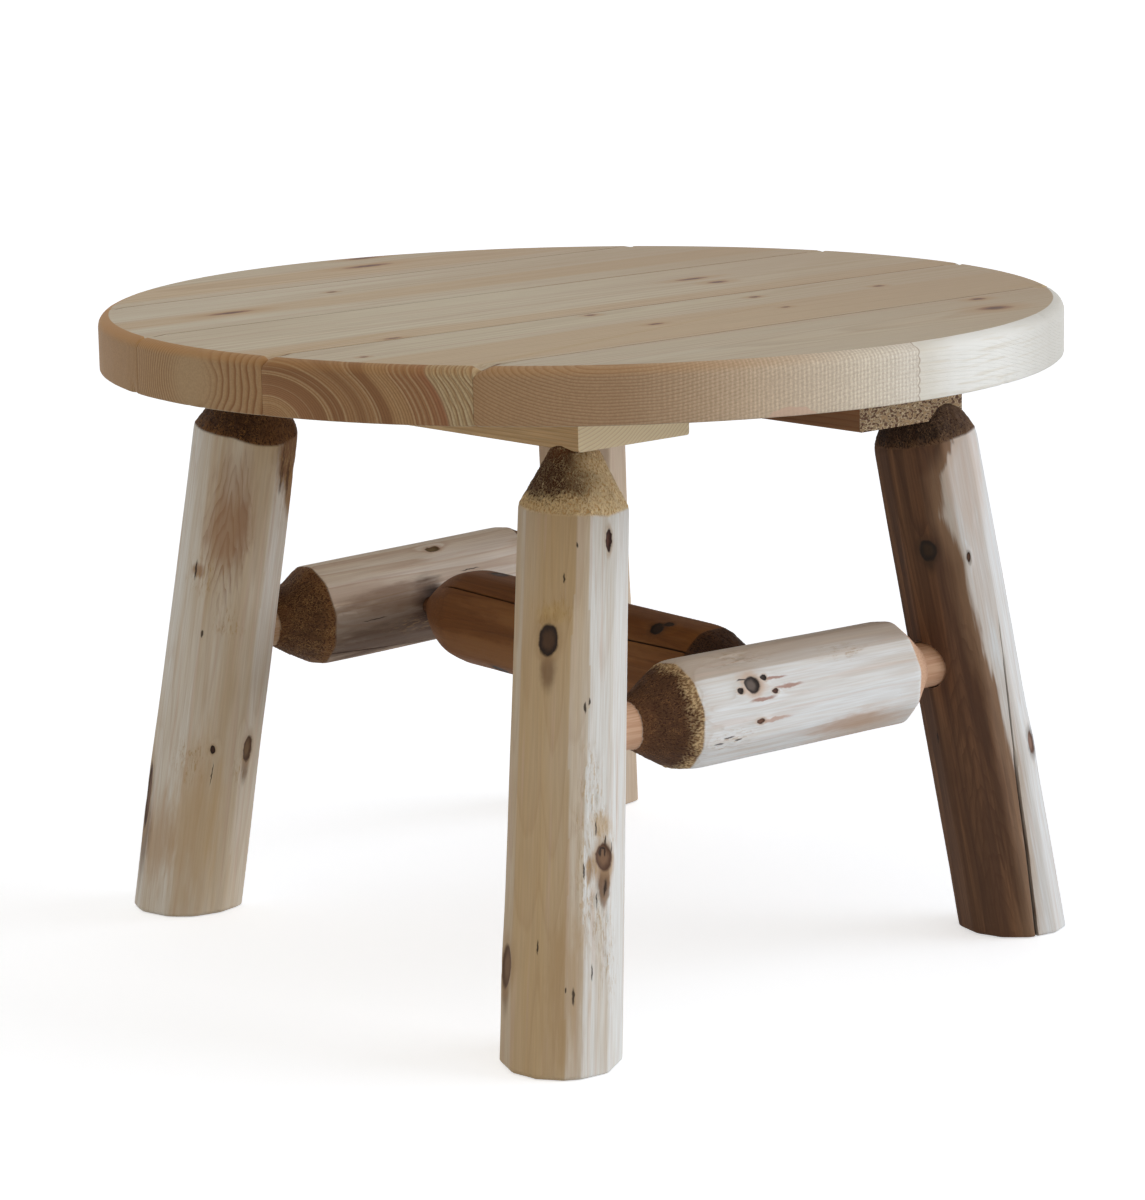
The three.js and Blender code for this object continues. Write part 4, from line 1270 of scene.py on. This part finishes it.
# Cross stretcher
# A log with dark heartwood all through, tenoned into the middles of the side stretchers. A
# long drying check runs along it.
cross = {
    **plain_log,
    "radii": (0.03617, 0.03648), "shows": (0.1, 0.5), "seed": 79, "step": 0.0014, "rings": 0.4,
    # The tenon's tones are the heartwood's own brown, made darker than the body as painted shadow at the
    # blunt tip where it meets the back stretcher.
    "tans_and_shading": [0.4, 0.6, 0.7, 0.5, 0.4, 0.4, 0.5, 0.5, 0.5, 0.4], "tenon_tones": ((84, 54, 34), (110, 74, 48)),
    "flat_edges": [-168, -130, -96, -58, -20, 20, 60, 98, 136, 166],
    "pale": (142, 94, 48), "tan": (124, 77, 35), "streak": (104, 66, 36), "blush": (152, 106, 64),
    "fibre": (78, 48, 28), "halo": (84, 54, 32), "torn_tint": (74, 46, 26),
    "shag": (1, 0.12), "dome": (0.0026, 0.0010), "arris": 0.0014, "blunt": (0.019, 0.056, 0.006),
    "cone_tones": ((76, 44, 22), (58, 34, 17), (88, 55, 28), (118, 80, 46)),
    "knots": [(0.110, -32, 0.0055, 0.0060, 0, (46, 30, 20), (24, 16, 12)),
              (0.104, -21, 0.0030, 0.0040, 0, (46, 30, 20), (24, 16, 12)),
              (0.305, 8, 0.0050, 0.0080, 0, (84, 66, 52), (52, 40, 32)),
              (0.277, -147, 0.0060, 0.0070, 0, (46, 30, 20), (24, 16, 12))],
    "check": {"degrees": -48,
              "path": [(0.0, -5), (0.066, -5), (0.128, -7), (0.251, 4), (0.333, 6), (0.45, 6)],
              "width": [(0, 0.0), (0.06, 0.0), (0.075, 0.0005), (0.2, 0.0008), (0.32, 0.0006), (0.35, 0.0),
                        (0.45, 0.0)]},
    "stains_and_shading": [(0.20, -60, 0.012, 0.12, 0.6, (164, 116, 70), 0.6),
               (0.25, -110, 0.012, 0.10, 0.6, (156, 108, 62), 0.5)],
}
along_sides = {"front": 0.534, "back": 0.4706}
cross_ends = [side_rails[side]["line"][0].lerp(side_rails[side]["line"][1], share)
              for side, share in along_sides.items()]
lay_rail(cross, *cross_ends, [radius_at(side_rails[side], share) for side, share in along_sides.items()])
cross["piece"] = make_log("stretcher_cross_log", cross, log_material("stretcher_cross_wood", cross))
bore_for(cross, [side_rails["front"], side_rails["back"]])
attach(cross["piece"], "root")
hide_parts("stretcher_cross")


# Floor
# A plain pale sheet that keeps the table's shadow and otherwise shows as white.
def seen_directly(tree):
    """1 where a ray comes from the camera, or by way of a mirror or glass, and else 0."""
    path = add(tree, "ShaderNodeLightPath").outputs
    camera_ray, glossy_ray, glass_ray = (
        Flow(tree, path[f"Is {kind} Ray"]) for kind in ("Camera", "Glossy", "Transmission"))
    return reckon("MAXIMUM", camera_ray, reckon("MAXIMUM", glossy_ray, glass_ray))


def floor_material():
    material = bpy.data.materials.new("pale_floor")
    material.use_nodes = True
    tree = material.node_tree
    shader = tree.nodes["Principled BSDF"]
    feed(shader, {"Base Color": (0.79, 0.82, 0.86, 1), "Roughness": 0.9})
    glow = flow(tree, "ShaderNodeEmission", {"Color": (1, 1, 1, 1), "Strength": seen_directly(tree) * 0.60})
    both = flow(tree, "ShaderNodeAddShader", {0: Flow(tree, shader.outputs[0]), 1: glow})
    feed(tree.nodes["Material Output"], {"Surface": both})
    return material


bpy.ops.mesh.primitive_plane_add(size=40)
floor = bpy.context.object
floor.name = "floor"
floor.location.z = -0.0005
floor.data.materials.append(floor_material())


# Daylight
# Soft light from all round, warmer from the left, and a broad low window to the right.
world = bpy.data.worlds.new("daylight")
bpy.context.scene.world = world
world.use_nodes = True
sky = world.node_tree
shown = seen_directly(sky)
toward_left = reckon("DOT_PRODUCT", flow(sky, "ShaderNodeTexCoord", out="Generated"), (-0.85, -0.25, -0.30))
sky_light = tint(fade(toward_left, -0.5, 0.7), (0.97, 0.98, 1.0, 1), (1.10, 0.96, 0.78, 1))
feed(sky.nodes["Background"], {"Color": tint(shown, sky_light, (1, 1, 1, 1)),
                               "Strength": fade(shown, 0.0, 1.0, 0.47, 1.0)})

window = bpy.data.lights.new("window", "SUN")
window.energy = 2.05
window.angle = math.radians(50)
window.color = (0.92, 0.98, 1.08)
window_lamp = bpy.data.objects.new("window", window)
bpy.context.collection.objects.link(window_lamp)
window_lamp.rotation_euler = Vector((0.76, -0.62, 0.15)).to_track_quat("Z", "Y").to_euler()


# Camera
# At the photograph's height and angle, with a long lens.
camera_place = Vector((-1.98847, -2.19852, 0.82194))
camera_turn, camera_pitch, camera_roll = 0.73200, 0.19599, -0.01900
focal_pixels, long_side_pixels, sensor = 4214.0, 1200, 36.0
ahead = Vector((math.sin(camera_turn) * math.cos(camera_pitch),
                math.cos(camera_turn) * math.cos(camera_pitch), -math.sin(camera_pitch)))
right = Vector((math.cos(camera_turn), -math.sin(camera_turn), 0))
up = right.cross(ahead)
rolled_right = math.cos(camera_roll) * right + math.sin(camera_roll) * up
rolled_up = math.cos(camera_roll) * up - math.sin(camera_roll) * right
camera_data = bpy.data.cameras.new("camera")
camera_data.sensor_width = sensor
camera_data.lens = focal_pixels / long_side_pixels * sensor
camera_data.clip_end = 100
camera = bpy.data.objects.new("camera", camera_data)
bpy.context.collection.objects.link(camera)
camera_axes = Matrix((rolled_right, rolled_up, -ahead)).transposed().to_4x4()
camera_axes.translation = camera_place
camera.matrix_world = camera_axes
bpy.context.scene.camera = camera
bpy.context.scene.view_settings.view_transform = "Standard"
